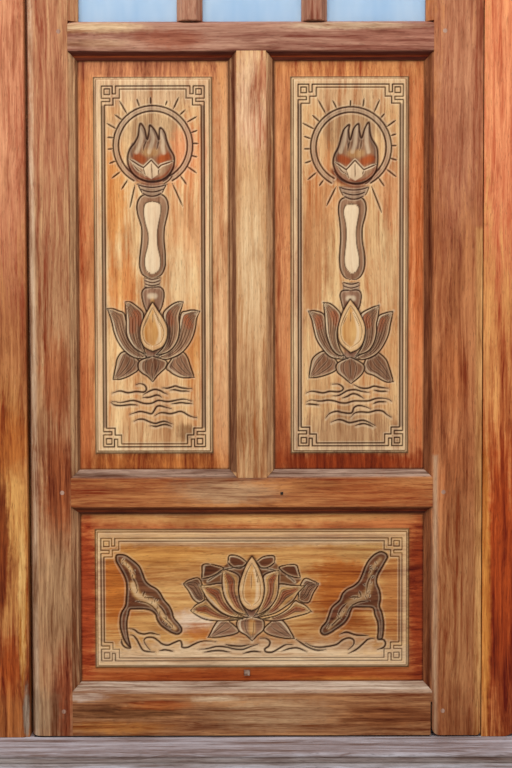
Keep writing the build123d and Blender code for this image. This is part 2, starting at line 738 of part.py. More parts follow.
LOWER_WAVES = (
    (((-182, 160), (-166, 165), (-148, 161)),),
    (((-148, 161), (-134, 166)), ((-134, 166), (-104, 160), (-64, 167))),
    (((-94, 153), (-42, 158), (12, 157)),),
    (((26, 150), (50, 152), (72, 162)),),
    (((79, 171), (103, 156), (132, 152)),),
    (((97, 159), (123, 153), (150, 161)), ((150, 161), (173, 173))),
)


def stroke(points):
    """A straight stroke, or an arc through three points."""
    return Line(*points) if len(points) == 2 else ThreePointArc(*points)


def carve_outlines(plane, outlines, depth, mirrored=True):
    """Sinks closed outlines into the field."""
    with BuildSketch(plane) as pockets:
        for outline in outlines:
            with BuildLine():
                for points in outline:
                    stroke(points)
            make_face()
        if mirrored:
            mirror(about=Plane.YZ)
    extrude(pockets.sketch, amount=-depth, mode=Mode.SUBTRACT)


def carve_lines(plane, strokes):
    """Incises strokes into the field as narrow grooves."""
    with BuildSketch(plane) as grooves:
        for line in strokes:
            with BuildLine() as path:
                for points in line:
                    stroke(points)
            trace(path.line, line_width=LINE_WIDTH)
    extrude(grooves.sketch, amount=-LINE_DEPTH, mode=Mode.SUBTRACT)


def carve_fret(plane, half_width, half_height):
    """The border band with its stepped corners, drawn for one quarter."""

    def from_corner(point):
        return (point[0] - half_width, half_height - point[1])

    outer = [from_corner(point) for point in FRET_OUTER]
    inner = [from_corner(point) for point in FRET_INNER]
    cell_x, cell_z = from_corner(FRET_CELL_CENTRE)
    with BuildSketch(plane) as band:
        with BuildLine():
            Polyline(
                (outer[0][0], 0),
                *outer,
                (0, outer[-1][1]),
                (0, inner[-1][1]),
                *reversed(inner),
                (inner[0][0], 0),
                close=True,
            )
        make_face()
        with Locations((cell_x, cell_z)):
            Rectangle(FRET_CELL, FRET_CELL, mode=Mode.SUBTRACT)
        mirror(about=Plane.YZ)
        mirror(about=Plane.XZ)
    extrude(band.sketch, amount=-FRET_DEPTH, mode=Mode.SUBTRACT)


def around_halo(radius, angle):
    """A point beside the halo, from its centre's radius and angle."""
    return (radius * cos(radians(angle)), HALO_Z + radius * sin(radians(angle)))


def carve_halo(plane):
    """A sunk ring round the flame, open over the cup, with rays outside it."""
    root = HALO_OUTER_RADIUS + RAY_GAP
    spread = degrees(RAY_ROOT / 2 / root)
    with BuildSketch(plane) as halo:
        with Locations((0, HALO_Z)):
            Circle(HALO_OUTER_RADIUS)
            Circle(HALO_INNER_RADIUS, mode=Mode.SUBTRACT)
        Polygon(
            (0, HALO_Z),
            around_halo(HALO_OUTER_RADIUS * 2, -90 - HALO_GAP_HALF_ANGLE),
            around_halo(HALO_OUTER_RADIUS * 2, -90 + HALO_GAP_HALF_ANGLE),
            align=None,
            mode=Mode.SUBTRACT,
        )
        for angle, length in RAYS:
            Polygon(
                around_halo(root, angle - spread),
                around_halo(root + length, angle),
                around_halo(root, angle + spread),
                align=None,
            )
    extrude(halo.sketch, amount=-LINE_DEPTH, mode=Mode.SUBTRACT)


def carve_neck_rings(plane):
    with BuildSketch(plane) as rings:
        for z, width in NECK_RINGS:
            with Locations((0, z)):
                Rectangle(width, NECK_RING_HEIGHT)
    extrude(rings.sketch, amount=-LINE_DEPTH, mode=Mode.SUBTRACT)


def blank_panel(opening, field_inset):
    """A panel with its tongue, sloped border and stepped raised field."""
    left, foot, right, top = opening
    tongue = MOULDING_WIDTH - GROOVE_DEPTH + TONGUE_END_PLAY
    centre_x = (left + right) / 2
    centre_z = (foot + top) / 2
    width = right - left
    height = top - foot
    border_face = GROOVE_FRONT + TONGUE_PLAY
    back = GROOVE_FRONT + GROOVE_WIDTH
    rise = border_face - BORDER_RISE
    board(left + tongue, right - tongue, foot + tongue, top - tongue, border_face, back)
    sight_size = (width - 2 * MOULDING_WIDTH, height - 2 * MOULDING_WIDTH)
    slope = field_inset - MOULDING_WIDTH
    sloped_block((centre_x, border_face, centre_z), (0, -1, 0), *sight_size, BORDER_RISE, slope)
    with BuildSketch(face_plane(rise, centre_x, centre_z)) as shoulder:
        Rectangle(width - 2 * field_inset, height - 2 * field_inset)
    extrude(shoulder.sketch, amount=FIELD_STEP_RISE)
    with BuildSketch(face_plane(rise, centre_x, centre_z)) as field:
        Rectangle(width - 2 * (field_inset + FIELD_STEP), height - 2 * (field_inset + FIELD_STEP))
    extrude(field.sketch, amount=rise - FIELD_FACE_DEPTH)


def field_half_size(opening, field_inset):
    left, foot, right, top = opening
    inset = field_inset + FIELD_STEP
    return (right - left) / 2 - inset, (top - foot) / 2 - inset


def motif_plane(opening, drawn_x, drawn_z, motif_x):
    """The field's face, with x = 0 on the motif's centre line and z as drawn."""
    left, foot, right, top = opening
    shift_x = (left + right) / 2 - drawn_x
    shift_z = (foot + top) / 2 - drawn_z
    return face_plane(FIELD_FACE_DEPTH, motif_x + shift_x, shift_z)


def field_plane(opening):
    left, foot, right, top = opening
    return face_plane(FIELD_FACE_DEPTH, (left + right) / 2, (foot + top) / 2)


def carve_upper(opening, plane, flame):
    carve_fret(field_plane(opening), *field_half_size(opening, UPPER_FIELD_INSET))
    carve_halo(plane)
    carve_outlines(plane, flame, BAND_DEPTH, mirrored=False)
    carve_outlines(plane, HANDLE, BAND_DEPTH)
    carve_neck_rings(plane)
    carve_outlines(plane, (UPPER_DROP,), BAND_DEPTH)
    carve_outlines(plane, UPPER_PETALS, POCKET_DEPTH)
    carve_lines(plane, UPPER_WAVES)


with BuildPart() as upper_left_panel:
    blank_panel(UPPER_LEFT_OPENING, UPPER_FIELD_INSET)
    carve_upper(
        UPPER_LEFT_OPENING,
        motif_plane(UPPER_LEFT_OPENING, UPPER_LEFT_FIELD_DRAWN, UPPER_FIELD_DRAWN_Z, UPPER_LEFT_MOTIF_X),
        LEFT_FLAME,
    )
write(upper_left_panel.part, "upper_left_panel")

with BuildPart() as upper_right_panel:
    blank_panel(UPPER_RIGHT_OPENING, UPPER_FIELD_INSET)
    carve_upper(
        UPPER_RIGHT_OPENING,
        motif_plane(UPPER_RIGHT_OPENING, UPPER_RIGHT_FIELD_DRAWN, UPPER_FIELD_DRAWN_Z, UPPER_RIGHT_MOTIF_X),
        RIGHT_FLAME,
    )
write(upper_right_panel.part, "upper_right_panel")

BORDER_CREST = GROOVE_FRONT + TONGUE_PLAY - BORDER_RISE
PANEL_NAIL_PLACE = (PANEL_NAIL_X, BORDER_CREST, BOTTOM_RAIL_TOP + PANEL_NAIL_ABOVE_RAIL)
PANEL_NAIL = (PANEL_NAIL_PLACE, (0, 1, 0), PANEL_NAIL_LENGTH)

with BuildPart() as lower_panel:
    blank_panel(LOWER_OPENING, LOWER_FIELD_INSET)
    carve_fret(field_plane(LOWER_OPENING), *field_half_size(LOWER_OPENING, LOWER_FIELD_INSET))
    motif = motif_plane(LOWER_OPENING, LOWER_FIELD_DRAWN, LOWER_FIELD_DRAWN_Z, LOWER_MOTIF_X)
    carve_outlines(motif, (LOWER_DROP,), BAND_DEPTH)
    carve_outlines(motif, LOWER_PETALS, POCKET_DEPTH)
    with BuildSketch(motif) as hands:
        with BuildLine():
            for points in HAND:
                stroke(points)
        make_face()
        with BuildLine():
            for points in PALM:
                stroke(points)
        make_face(mode=Mode.SUBTRACT)
        mirror(about=Plane.YZ)
    extrude(hands.sketch, amount=-BAND_DEPTH, mode=Mode.SUBTRACT)
    carve_lines(motif, LOWER_WAVES)
    nail_shank(PANEL_NAIL)
write(lower_panel.part, "lower_panel")

# Glazing

with BuildPart() as glazing_bar:
    half_face = BAR_FACE / 2
    half_width = BAR_WIDTH / 2
    half_stem = BAR_STEM / 2
    bar_plane = Plane(origin=at(BAR_CENTRES[0], 0, UPPER_RAIL_TOP), x_dir=(1, 0, 0), z_dir=(0, 0, 1))
    with BuildSketch(bar_plane):
        with BuildLine():
            Polyline(
                (0, 0),
                (half_face, 0),
                (half_face + BAR_ROUNDING, LIP_SETBACK),
                (half_width, LIP_BEVEL_DEPTH),
                (half_width, GLASS_DEPTH),
                (half_stem, GLASS_DEPTH),
                (half_stem, LEAF_THICKNESS - BEAD_CHAMFER),
                (0, LEAF_THICKNESS - BEAD_CHAMFER),
                close=True,
            )
        make_face()
        mirror(about=Plane.YZ)
    extrude(amount=TOP_RAIL_FOOT - UPPER_RAIL_TOP)
    stem_left = BAR_CENTRES[0] - half_stem
    stem_foot = GLASS_FOOT - BAR_TENON
    stem_top = GLASS_TOP + BAR_TENON
    stem_back = LEAF_THICKNESS - BEAD_CHAMFER
    board(stem_left, stem_left + BAR_STEM, stem_foot, stem_top, GLASS_DEPTH, stem_back)
write(glazing_bar.part, "left_glazing_bar")

with BuildPart() as right_glazing_bar:
    with Locations((BAR_CENTRES[1] - BAR_CENTRES[0], 0, 0)):
        add(glazing_bar.part)
write(right_glazing_bar.part, "right_glazing_bar")

POCKET_EDGES = [HANGING_EDGE]
for centre in BAR_CENTRES:
    POCKET_EDGES += [centre - BAR_STEM / 2, centre + BAR_STEM / 2]
POCKET_EDGES.append(CLOSING_EDGE)
PANES = {
    "left": (POCKET_EDGES[0], POCKET_EDGES[1]),
    "middle": (POCKET_EDGES[2], POCKET_EDGES[3]),
    "right": (POCKET_EDGES[4], POCKET_EDGES[5]),
}
GLASS_BACK = GLASS_DEPTH + GLASS_THICKNESS
BEAD_BACK = GLASS_BACK + BEAD_DEPTH


def bead(x0, x1, z0, z1, room_side):
    """A glazing bead with its edge towards the room bevelled on the pane's side."""
    with BuildPart() as strip:
        board(x0, x1, z0, z1, GLASS_BACK, BEAD_BACK)
        back = strip.faces().sort_by(Axis.Y)[-1]
        axis, index = room_side
        chamfer(back.edges().sort_by(axis)[index], length=BEAD_CHAMFER)
    return strip.part


for side, (x0, x1) in PANES.items():
    with BuildPart() as pane:
        board(
            x0 + GLASS_PLAY,
            x1 - GLASS_PLAY,
            GLASS_FOOT + GLASS_PLAY,
            GLASS_TOP - GLASS_PLAY,
            GLASS_DEPTH,
            GLASS_BACK,
        )
    write(pane.part, f"{side}_glass")
    inner_foot = GLASS_FOOT + BEAD_WIDTH
    inner_top = GLASS_TOP - BEAD_WIDTH
    write(bead(x0, x1, GLASS_FOOT, inner_foot, (Axis.Z, -1)), f"{side}_glass_foot_bead")
    write(bead(x0, x1, inner_top, GLASS_TOP, (Axis.Z, 0)), f"{side}_glass_head_bead")
    write(bead(x0, x0 + BEAD_WIDTH, inner_foot, inner_top, (Axis.X, -1)), f"{side}_glass_left_bead")
    write(bead(x1 - BEAD_WIDTH, x1, inner_foot, inner_top, (Axis.X, 0)), f"{side}_glass_right_bead")

# Frame round the leaf: jambs, head and sill

STRIKE_MIDDLE = BOLT_AXIS_DEPTH + STRIKE_SHIFT
STRIKE_DEPTHS = (STRIKE_MIDDLE - STRIKE_WIDTH / 2, STRIKE_MIDDLE + STRIKE_WIDTH / 2)
SILL_LEVEL = SILL_TOP - LEAF_FOOT
FIXING_HEIGHTS = [FIXING_FIRST + i * FIXING_SPACING for i in range(FIXING_HOLES)]
JAMB_TENON_DEPTHS = (
    (FRAME_DEPTH - JAMB_TENON_THICKNESS) / 2,
    (FRAME_DEPTH + JAMB_TENON_THICKNESS) / 2,
)
HEAD_FOOT = OPENING_TOP - LEAF_FOOT
HEAD_TOP = HEAD_FOOT + HEAD_FACE


def jamb_tenon_sides(inner_edge, outward):
    """Left and right edges of a jamb's tenons, centred on its face."""
    centre = inner_edge + outward * JAMB_FACE / 2
    return centre - JAMB_TENON_WIDTH / 2, centre + JAMB_TENON_WIDTH / 2


HANGING_JAMB_EDGE = -HINGE_GAP
CLOSING_JAMB_EDGE = LEAF_WIDTH + CLOSING_GAP
JAMB_SIDES = ((HANGING_JAMB_EDGE, -1), (CLOSING_JAMB_EDGE, 1))


def jamb(inner_edge, outward):
    """A rebated jamb with a tenon at foot and head and its fixing holes."""
    outer_edge = inner_edge + outward * JAMB_FACE
    stop_edge = inner_edge - outward * STOP_WIDTH
    board(*sorted((inner_edge, outer_edge)), SILL_LEVEL, HEAD_FOOT, 0, FRAME_DEPTH)
    stop_foot = SILL_LEVEL + SILL_STEP
    stop_top = HEAD_FOOT - STOP_WIDTH
    board(*sorted((inner_edge, stop_edge)), stop_foot, stop_top, STOP_DEPTH, FRAME_DEPTH)
    x0, x1 = jamb_tenon_sides(inner_edge, outward)
    board(x0, x1, SILL_LEVEL - JAMB_FOOT_TENON, SILL_LEVEL, *JAMB_TENON_DEPTHS)
    board(x0, x1, HEAD_FOOT, HEAD_FOOT + JAMB_HEAD_TENON, *JAMB_TENON_DEPTHS)
    for z in FIXING_HEIGHTS:
        hole_depth = LEAF_THICKNESS / 2
        bore(inner_edge, hole_depth, z, FIXING_HOLE_RADIUS, JAMB_FACE, (outward, 0, 0))


FRAME_PEG_HEIGHT = HEAD_FOOT + JAMB_HEAD_TENON / 2
FRAME_PEG_LENGTH = JAMB_TENON_DEPTHS[1] + FRAME_PEG_PAST_TENON
FRAME_PEG_PLACES = [(inner_edge + outward * JAMB_FACE / 2, FRAME_PEG_HEIGHT) for inner_edge, outward in JAMB_SIDES]


def cut_frame_peg_holes():
    hole_depth = FRAME_PEG_LENGTH + MORTISE_SPARE
    peg_shape(FRAME_PEG_PLACES, FRAME_PEG_RADIUS + PEG_PLAY, hole_depth, Mode.SUBTRACT)


with BuildPart() as left_jamb:
    jamb(*JAMB_SIDES[0])
    cut_frame_peg_holes()
    chip_left = HANGING_JAMB_EDGE - CHIP_WIDTH
    with BuildSketch(face_plane()) as chip:
        Polygon(
            (chip_left, SILL_LEVEL),
            (HANGING_JAMB_EDGE, SILL_LEVEL),
            (HANGING_JAMB_EDGE, CHIP_HEIGHT),
            (chip_left + CHIP_TAPER, CHIP_KNEE),
            align=None,
        )
    extrude(chip.sketch, amount=-CHIP_DEPTH, mode=Mode.SUBTRACT)
write(left_jamb.part, "left_jamb")

STOP_FACE_X = CLOSING_JAMB_EDGE - STOP_WIDTH
STRIKE_NAILS = [
    ((STOP_FACE_X, STRIKE_MIDDLE, BOLT_HEIGHT + side * STRIKE_NAIL_SPACING / 2), (1, 0, 0), PLATE_NAIL_LENGTH)
    for side in (-1, 1)
]

with BuildPart() as right_jamb:
    jamb(*JAMB_SIDES[1])
    cut_frame_peg_holes()
    strike_foot = BOLT_HEIGHT - STRIKE_HEIGHT / 2
    strike_top = BOLT_HEIGHT + STRIKE_HEIGHT / 2
    board(STOP_FACE_X, STOP_FACE_X + STRIKE_THICKNESS, strike_foot, strike_top, *STRIKE_DEPTHS, Mode.SUBTRACT)
    bolt_end = BOLT_PLATE_RIGHT + BOLT_TRAVEL + STRIKE_THICKNESS
    bolt_bar(STOP_FACE_X, bolt_end, STRIKE_HOLE_PLAY, Mode.SUBTRACT)
    for nail in STRIKE_NAILS:
        nail_shank(nail)
    with BuildSketch(face_plane()) as rotted_foot:
        Polygon(
            (CLOSING_JAMB_EDGE + ROT_START, SILL_LEVEL),
            (FRAME_RIGHT, SILL_LEVEL),
            (FRAME_RIGHT, SILL_LEVEL + ROT_RISE),
            (CLOSING_JAMB_EDGE + ROT_START + ROT_KNEE, SILL_LEVEL + ROT_KNEE_RISE),
            align=None,
        )
    extrude(rotted_foot.sketch, amount=-LEAF_THICKNESS / 2, mode=Mode.SUBTRACT)
write(right_jamb.part, "right_jamb")

RING_SIDE = 2 * (HEAD_PINTLE_RADIUS + PIVOT_PLAY + RING_WALL)

with BuildPart() as head:
    board(FRAME_LEFT, FRAME_RIGHT, HEAD_FOOT, HEAD_TOP, 0, FRAME_DEPTH)
    board(HANGING_JAMB_EDGE, CLOSING_JAMB_EDGE, HEAD_FOOT - STOP_WIDTH, HEAD_FOOT, STOP_DEPTH, FRAME_DEPTH)
    for inner_edge, outward in JAMB_SIDES:
        x0, x1 = jamb_tenon_sides(inner_edge, outward)
        tenon_end = HEAD_FOOT + JAMB_HEAD_TENON + MORTISE_SPARE
        board(x0, x1, HEAD_FOOT, tenon_end, *JAMB_TENON_DEPTHS, Mode.SUBTRACT)
    pivot_block(RING_SIDE, HEAD_FOOT, HEAD_FOOT + RING_HEIGHT, Mode.SUBTRACT)
    pintle_room = HEAD_PINTLE_LENGTH - HEAD_GAP + LIFT_ROOM
    bore(PIVOT_X, PIVOT_DEPTH, HEAD_FOOT, HEAD_PINTLE_RADIUS + PIVOT_PLAY, pintle_room, (0, 0, 1))
    cut_frame_peg_holes()
write(head.part, "head")

CUP_BORE_RADIUS = SHOE_RADIUS + PIVOT_PLAY
CUP_SIDE = 2 * (CUP_BORE_RADIUS + CUP_WALL)
CUP_INNER_FLOOR = -SHOE_HEIGHT - PIVOT_PLAY
CUP_FOOT = CUP_INNER_FLOOR - CUP_FLOOR

with BuildPart() as sill:
    board(FRAME_LEFT, FRAME_RIGHT, SILL_LEVEL - SILL_HEIGHT, SILL_LEVEL, -SILL_PROJECTION, FRAME_DEPTH)
    nose = sill.edges().filter_by(Axis.X).group_by(Axis.Z)[-1].sort_by(Axis.Y)[0]
    fillet(nose, radius=SILL_NOSE_RADIUS)
    step_top = SILL_LEVEL + SILL_STEP
    board(HANGING_JAMB_EDGE, CLOSING_JAMB_EDGE, SILL_LEVEL, step_top, STOP_DEPTH, FRAME_DEPTH)
    for drop in SILL_GROOVE_DROPS:
        groove_top = SILL_LEVEL - drop
        board(
            FRAME_LEFT,
            FRAME_RIGHT,
            groove_top - SILL_GROOVE_WIDTH,
            groove_top,
            -SILL_PROJECTION,
            SILL_GROOVE_DEPTH - SILL_PROJECTION,
            Mode.SUBTRACT,
        )
    for inner_edge, outward in JAMB_SIDES:
        x0, x1 = jamb_tenon_sides(inner_edge, outward)
        mortise_foot = SILL_LEVEL - JAMB_FOOT_TENON - MORTISE_SPARE
        board(x0, x1, mortise_foot, SILL_LEVEL, *JAMB_TENON_DEPTHS, Mode.SUBTRACT)
    pivot_block(CUP_SIDE, CUP_FOOT, SILL_LEVEL, Mode.SUBTRACT)
write(sill.part, "sill")

# Pivot irons

with BuildPart() as pivot_cup:
    pivot_block(CUP_SIDE, CUP_FOOT, SILL_LEVEL)
    bore(PIVOT_X, PIVOT_DEPTH, CUP_INNER_FLOOR, CUP_BORE_RADIUS, SILL_LEVEL - CUP_INNER_FLOOR, (0, 0, 1))
write(pivot_cup.part, "pivot_cup")

with BuildPart() as pivot_shoe:
    bore(PIVOT_X, PIVOT_DEPTH, -SHOE_HEIGHT, SHOE_RADIUS, SHOE_HEIGHT, (0, 0, 1), Mode.ADD)
    pivot_block(FOOT_TENON_SIDE, SHOE_FLOOR - SHOE_HEIGHT, 0, Mode.SUBTRACT)
write(pivot_shoe.part, "pivot_shoe")

with BuildPart() as pivot_ring:
    pivot_block(RING_SIDE, HEAD_FOOT, HEAD_FOOT + RING_HEIGHT)
    bore(PIVOT_X, PIVOT_DEPTH, HEAD_FOOT, HEAD_PINTLE_RADIUS + PIVOT_PLAY, RING_HEIGHT, (0, 0, 1))
write(pivot_ring.part, "pivot_ring")

# Pegs and nails

with BuildPart() as leaf_pegs:
    peg_shape(PEG_PLACES, PEG_RADIUS, LEAF_THICKNESS, Mode.ADD)
write(leaf_pegs.part, "leaf_pegs")

with BuildPart() as frame_pegs:
    peg_shape(FRAME_PEG_PLACES, FRAME_PEG_RADIUS, FRAME_PEG_LENGTH, Mode.ADD)
write(frame_pegs.part, "frame_pegs")

with BuildPart() as panel_nail:
    forged_nail(PANEL_NAIL, PANEL_NAIL_HEAD)
write(panel_nail.part, "panel_nail")

with BuildPart() as rail_nail:
    forged_nail(RAIL_NAIL, RAIL_NAIL_HEAD)
write(rail_nail.part, "rail_nail")

# Slide bolt

STAPLE_STARTS = (
    BOLT_PLATE_RIGHT - STAPLE_FROM_END - STAPLE_WIDTH,
    BOLT_PLATE_RIGHT - STAPLE_FROM_END - STAPLE_WIDTH - STAPLE_SPACING,
)


with BuildPart() as bolt_plate:
    plate_foot = BOLT_HEIGHT - BOLT_PLATE_HEIGHT / 2
    plate_top = BOLT_HEIGHT + BOLT_PLATE_HEIGHT / 2
    board(BOLT_PLATE_LEFT, BOLT_PLATE_RIGHT, plate_foot, plate_top, LEAF_THICKNESS, PLATE_BACK)
    chamfer(bolt_plate.edges().filter_by(Axis.Y), length=BOLT_PLATE_CORNER)
    staple_half = BOLT_BAR_HEIGHT / 2 + BOLT_BAR_PLAY + STAPLE_WALL
    staple_back = BOLT_AXIS_DEPTH + BOLT_BAR_THICKNESS / 2 + BOLT_BAR_PLAY + STAPLE_WALL
    for x in STAPLE_STARTS:
        staple_heights = (BOLT_HEIGHT - staple_half, BOLT_HEIGHT + staple_half)
        board(x, x + STAPLE_WIDTH, *staple_heights, PLATE_BACK, staple_back)
    bolt_bar(BOLT_PLATE_LEFT, BOLT_PLATE_RIGHT, BOLT_BAR_PLAY, Mode.SUBTRACT)
    for nail in PLATE_NAILS:
        nail_shank(nail)
write(bolt_plate.part, "bolt_plate")

with BuildPart() as bolt_nails:
    for nail in PLATE_NAILS:
        forged_nail(nail, PLATE_NAIL_HEAD)
write(bolt_nails.part, "bolt_nails")

with BuildPart() as bolt_rod:
    bar_left = BOLT_PLATE_RIGHT - BOLT_BAR_LENGTH
    bolt_bar(bar_left, BOLT_PLATE_RIGHT)
    knob_x = bar_left + KNOB_FROM_END
    bar_back = BOLT_AXIS_DEPTH + BOLT_BAR_THICKNESS / 2
    with BuildSketch(face_plane(bar_back, knob_x, BOLT_HEIGHT)) as stem:
        Rectangle(KNOB_STEM, KNOB_STEM)
    extrude(stem.sketch, amount=-KNOB_STEM_LENGTH)
    with BuildSketch(face_plane(bar_back + KNOB_STEM_LENGTH, knob_x, BOLT_HEIGHT)) as knob:
        Rectangle(KNOB_HEAD, KNOB_HEAD)
        chamfer(knob.vertices(), length=KNOB_CORNER)
    extrude(knob.sketch, amount=-KNOB_THICKNESS)
write(bolt_rod.part, "bolt_rod")

with BuildPart() as strike_plate:
    board(STOP_FACE_X, STOP_FACE_X + STRIKE_THICKNESS, strike_foot, strike_top, *STRIKE_DEPTHS)
    bolt_bar(STOP_FACE_X, STOP_FACE_X + STRIKE_THICKNESS, STRIKE_HOLE_PLAY, Mode.SUBTRACT)
    for nail in STRIKE_NAILS:
        nail_shank(nail)
write(strike_plate.part, "strike_plate")

with BuildPart() as strike_nails:
    for nail in STRIKE_NAILS:
        forged_nail(nail, PLATE_NAIL_HEAD)
write(strike_nails.part, "strike_nails")
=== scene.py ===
"""Looks of the carved temple door: camera, light, wood, carved panels, iron and glass.

Places on the door are in leaf millimetres, as in the part's source: x from
the leaf's left edge, depth back from its face, z up from its foot.
"""
import math
import bpy
import numpy as np
from mathutils import Matrix, Vector


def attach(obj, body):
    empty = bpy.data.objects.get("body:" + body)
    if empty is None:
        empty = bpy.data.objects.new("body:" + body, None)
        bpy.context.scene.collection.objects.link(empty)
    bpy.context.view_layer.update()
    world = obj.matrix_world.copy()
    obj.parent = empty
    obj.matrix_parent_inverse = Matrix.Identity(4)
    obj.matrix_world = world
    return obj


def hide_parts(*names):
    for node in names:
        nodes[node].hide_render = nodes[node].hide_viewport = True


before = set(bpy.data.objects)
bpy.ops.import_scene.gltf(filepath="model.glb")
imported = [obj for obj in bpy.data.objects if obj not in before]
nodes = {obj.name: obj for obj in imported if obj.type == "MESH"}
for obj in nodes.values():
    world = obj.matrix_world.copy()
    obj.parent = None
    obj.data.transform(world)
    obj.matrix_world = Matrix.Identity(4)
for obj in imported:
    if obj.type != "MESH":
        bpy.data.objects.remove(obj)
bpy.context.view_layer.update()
scene = bpy.context.scene

LEAF_LEFT = -399.5
LEAF_FRONT = -15.0
LEAF_FOOT = 63.0


def metres(x, depth, z):
    """A leaf place in millimetres as a point of the scene."""
    return ((LEAF_LEFT + x) / 1000, (LEAF_FRONT + depth) / 1000, (LEAF_FOOT + z) / 1000)


def add_object(name, data):
    made = bpy.data.objects.new(name, data)
    scene.collection.objects.link(made)
    return made


# Camera and lamps

FOCAL_PIXELS = 1136.0
PICTURE_HEIGHT = 768.0
SENSOR = 36.0
CAMERA_PLACE = (401.8, -2000.86, 696.83)
CAMERA_PITCH = 2.008
CAMERA_ROLL = -0.125

camera_data = bpy.data.cameras.new("camera")
camera_data.sensor_width = SENSOR
camera_data.lens = SENSOR * FOCAL_PIXELS / PICTURE_HEIGHT
camera = add_object("camera", camera_data)
camera.matrix_world = (
    Matrix.Translation(metres(*CAMERA_PLACE))
    @ Matrix.Rotation(math.radians(90 - CAMERA_PITCH), 4, "X")
    @ Matrix.Rotation(math.radians(CAMERA_ROLL), 4, "Z")
)
scene.camera = camera
scene.view_settings.view_transform = "Standard"

# Each lamp: place, the point it aims at, size, watts and colour
LAMPS = {
    "sky_light": ((-0.5, -1.9, 3.6), (0.0, 0.0, 1.0), (3.2, 1.6), 92, (1.0, 0.98, 0.95)),
    "back_light": ((1.0, 2.6, 3.4), (0.0, 0.0, 1.1), (3.0, 1.6), 60, (0.97, 0.98, 1.0)),
}
for lamp_name, (place, aim, size, watts, tint) in LAMPS.items():
    lamp = bpy.data.lights.new(lamp_name, "AREA")
    lamp.shape = "RECTANGLE"
    lamp.size, lamp.size_y = size
    lamp.energy = watts
    lamp.color = tint
    light = add_object(lamp_name, lamp)
    light.location = place
    light.rotation_euler = (Vector(aim) - Vector(place)).to_track_quat("-Z", "Y").to_euler()


# Shader nodes

def colour(code):
    """A colour written as on a screen, such as d7a771, in linear light."""
    parts = [int(code[i:i + 2], 16) / 255 for i in (0, 2, 4)]
    return tuple(p / 12.92 if p <= 0.04045 else ((p + 0.055) / 1.055) ** 2.4 for p in parts) + (1.0,)


def new_material(name):
    material = bpy.data.materials.new(name)
    material.use_nodes = True
    material.node_tree.nodes.clear()
    return material


class Graph:
    """Builds shader nodes; sockets and plain numbers are passed alike."""

    def __init__(self, tree):
        self.tree = tree

    def node(self, kind, **settings):
        made = self.tree.nodes.new(kind)
        for name, value in settings.items():
            setattr(made, name, value)
        return made

    def feed(self, socket, value):
        if isinstance(value, bpy.types.NodeSocket):
            self.tree.links.new(value, socket)
        else:
            socket.default_value = value

    def math(self, operation, a, b=0.0, c=0.0):
        made = self.node("ShaderNodeMath", operation=operation)
        for socket, value in zip(made.inputs, (a, b, c)):
            self.feed(socket, value)
        return made.outputs[0]

    def vector(self, operation, a, b, c=(0, 0, 0)):
        made = self.node("ShaderNodeVectorMath", operation=operation)
        for socket, value in zip(made.inputs, (a, b, c)):
            self.feed(socket, value)
        return made.outputs[0]

    def range(self, value, low, high, to_low=0.0, to_high=1.0, smooth=True):
        made = self.node("ShaderNodeMapRange", interpolation_type="SMOOTHSTEP" if smooth else "LINEAR")
        names = ("Value", "From Min", "From Max", "To Min", "To Max")
        for name, number in zip(names, (value, low, high, to_low, to_high)):
            self.feed(made.inputs[name], number)
        return made.outputs["Result"]

    def mix(self, factor, a, b, blend="MIX"):
        made = self.node("ShaderNodeMix", data_type="RGBA", blend_type=blend)
        self.feed(made.inputs["Factor"], factor)
        self.feed(made.inputs[6], a)
        self.feed(made.inputs[7], b)
        return made.outputs[2]

    def noise(self, vector, detail=3.0, rough=0.55, scale=1.0, output="Fac"):
        made = self.node("ShaderNodeTexNoise")
        for name, value in (("Vector", vector), ("Scale", scale), ("Detail", detail), ("Roughness", rough)):
            self.feed(made.inputs[name], value)
        return made.outputs[output]

    def separate(self, vector):
        made = self.node("ShaderNodeSeparateXYZ")
        self.feed(made.inputs[0], vector)
        return made.outputs

    def ramp(self, factor, stops):
        made = self.node("ShaderNodeValToRGB")
        for element, (spot, shade) in zip(made.color_ramp.elements, stops):
            element.position = spot
            element.color = colour(shade)
        self.feed(made.inputs[0], factor)
        return made.outputs[0]

    def bump(self, height, distance, strength):
        made = self.node("ShaderNodeBump")
        self.feed(made.inputs["Height"], height)
        made.inputs["Distance"].default_value = distance
        made.inputs["Strength"].default_value = strength
        return made.outputs[0]

    def background(self, shade, strength):
        made = self.node("ShaderNodeBackground")
        made.inputs["Color"].default_value = shade
        made.inputs["Strength"].default_value = strength
        return made.outputs[0]

    def surface(self, shade, rough, normal=None, **constants):
        made = self.node("ShaderNodeBsdfPrincipled")
        self.feed(made.inputs["Base Color"], shade)
        self.feed(made.inputs["Roughness"], rough)
        if normal is not None:
            self.feed(made.inputs["Normal"], normal)
        for name, value in constants.items():
            made.inputs[name].default_value = value
        out = self.node("ShaderNodeOutputMaterial")
        self.feed(out.inputs["Surface"], made.outputs[0])


# Sky and floor: the sky is seen a little brighter than it lights

LIT_SKY = ((0.95, 0.98, 1.0, 1.0), 0.62)
SEEN_SKY = ((0.93, 0.95, 0.97, 1.0), 0.95)
world = bpy.data.worlds.new("studio")
scene.world = world
world.use_nodes = True
world.node_tree.nodes.clear()
sky = Graph(world.node_tree)
ray = sky.node("ShaderNodeLightPath").outputs
seen = sky.math("MAXIMUM", ray["Is Camera Ray"], ray["Is Transmission Ray"])
seen = sky.math("MAXIMUM", seen, ray["Is Glossy Ray"])
both = sky.node("ShaderNodeMixShader")
for socket, value in zip(both.inputs, (seen, sky.background(*LIT_SKY), sky.background(*SEEN_SKY))):
    sky.feed(socket, value)
sky.feed(sky.node("ShaderNodeOutputWorld").inputs["Surface"], both.outputs[0])

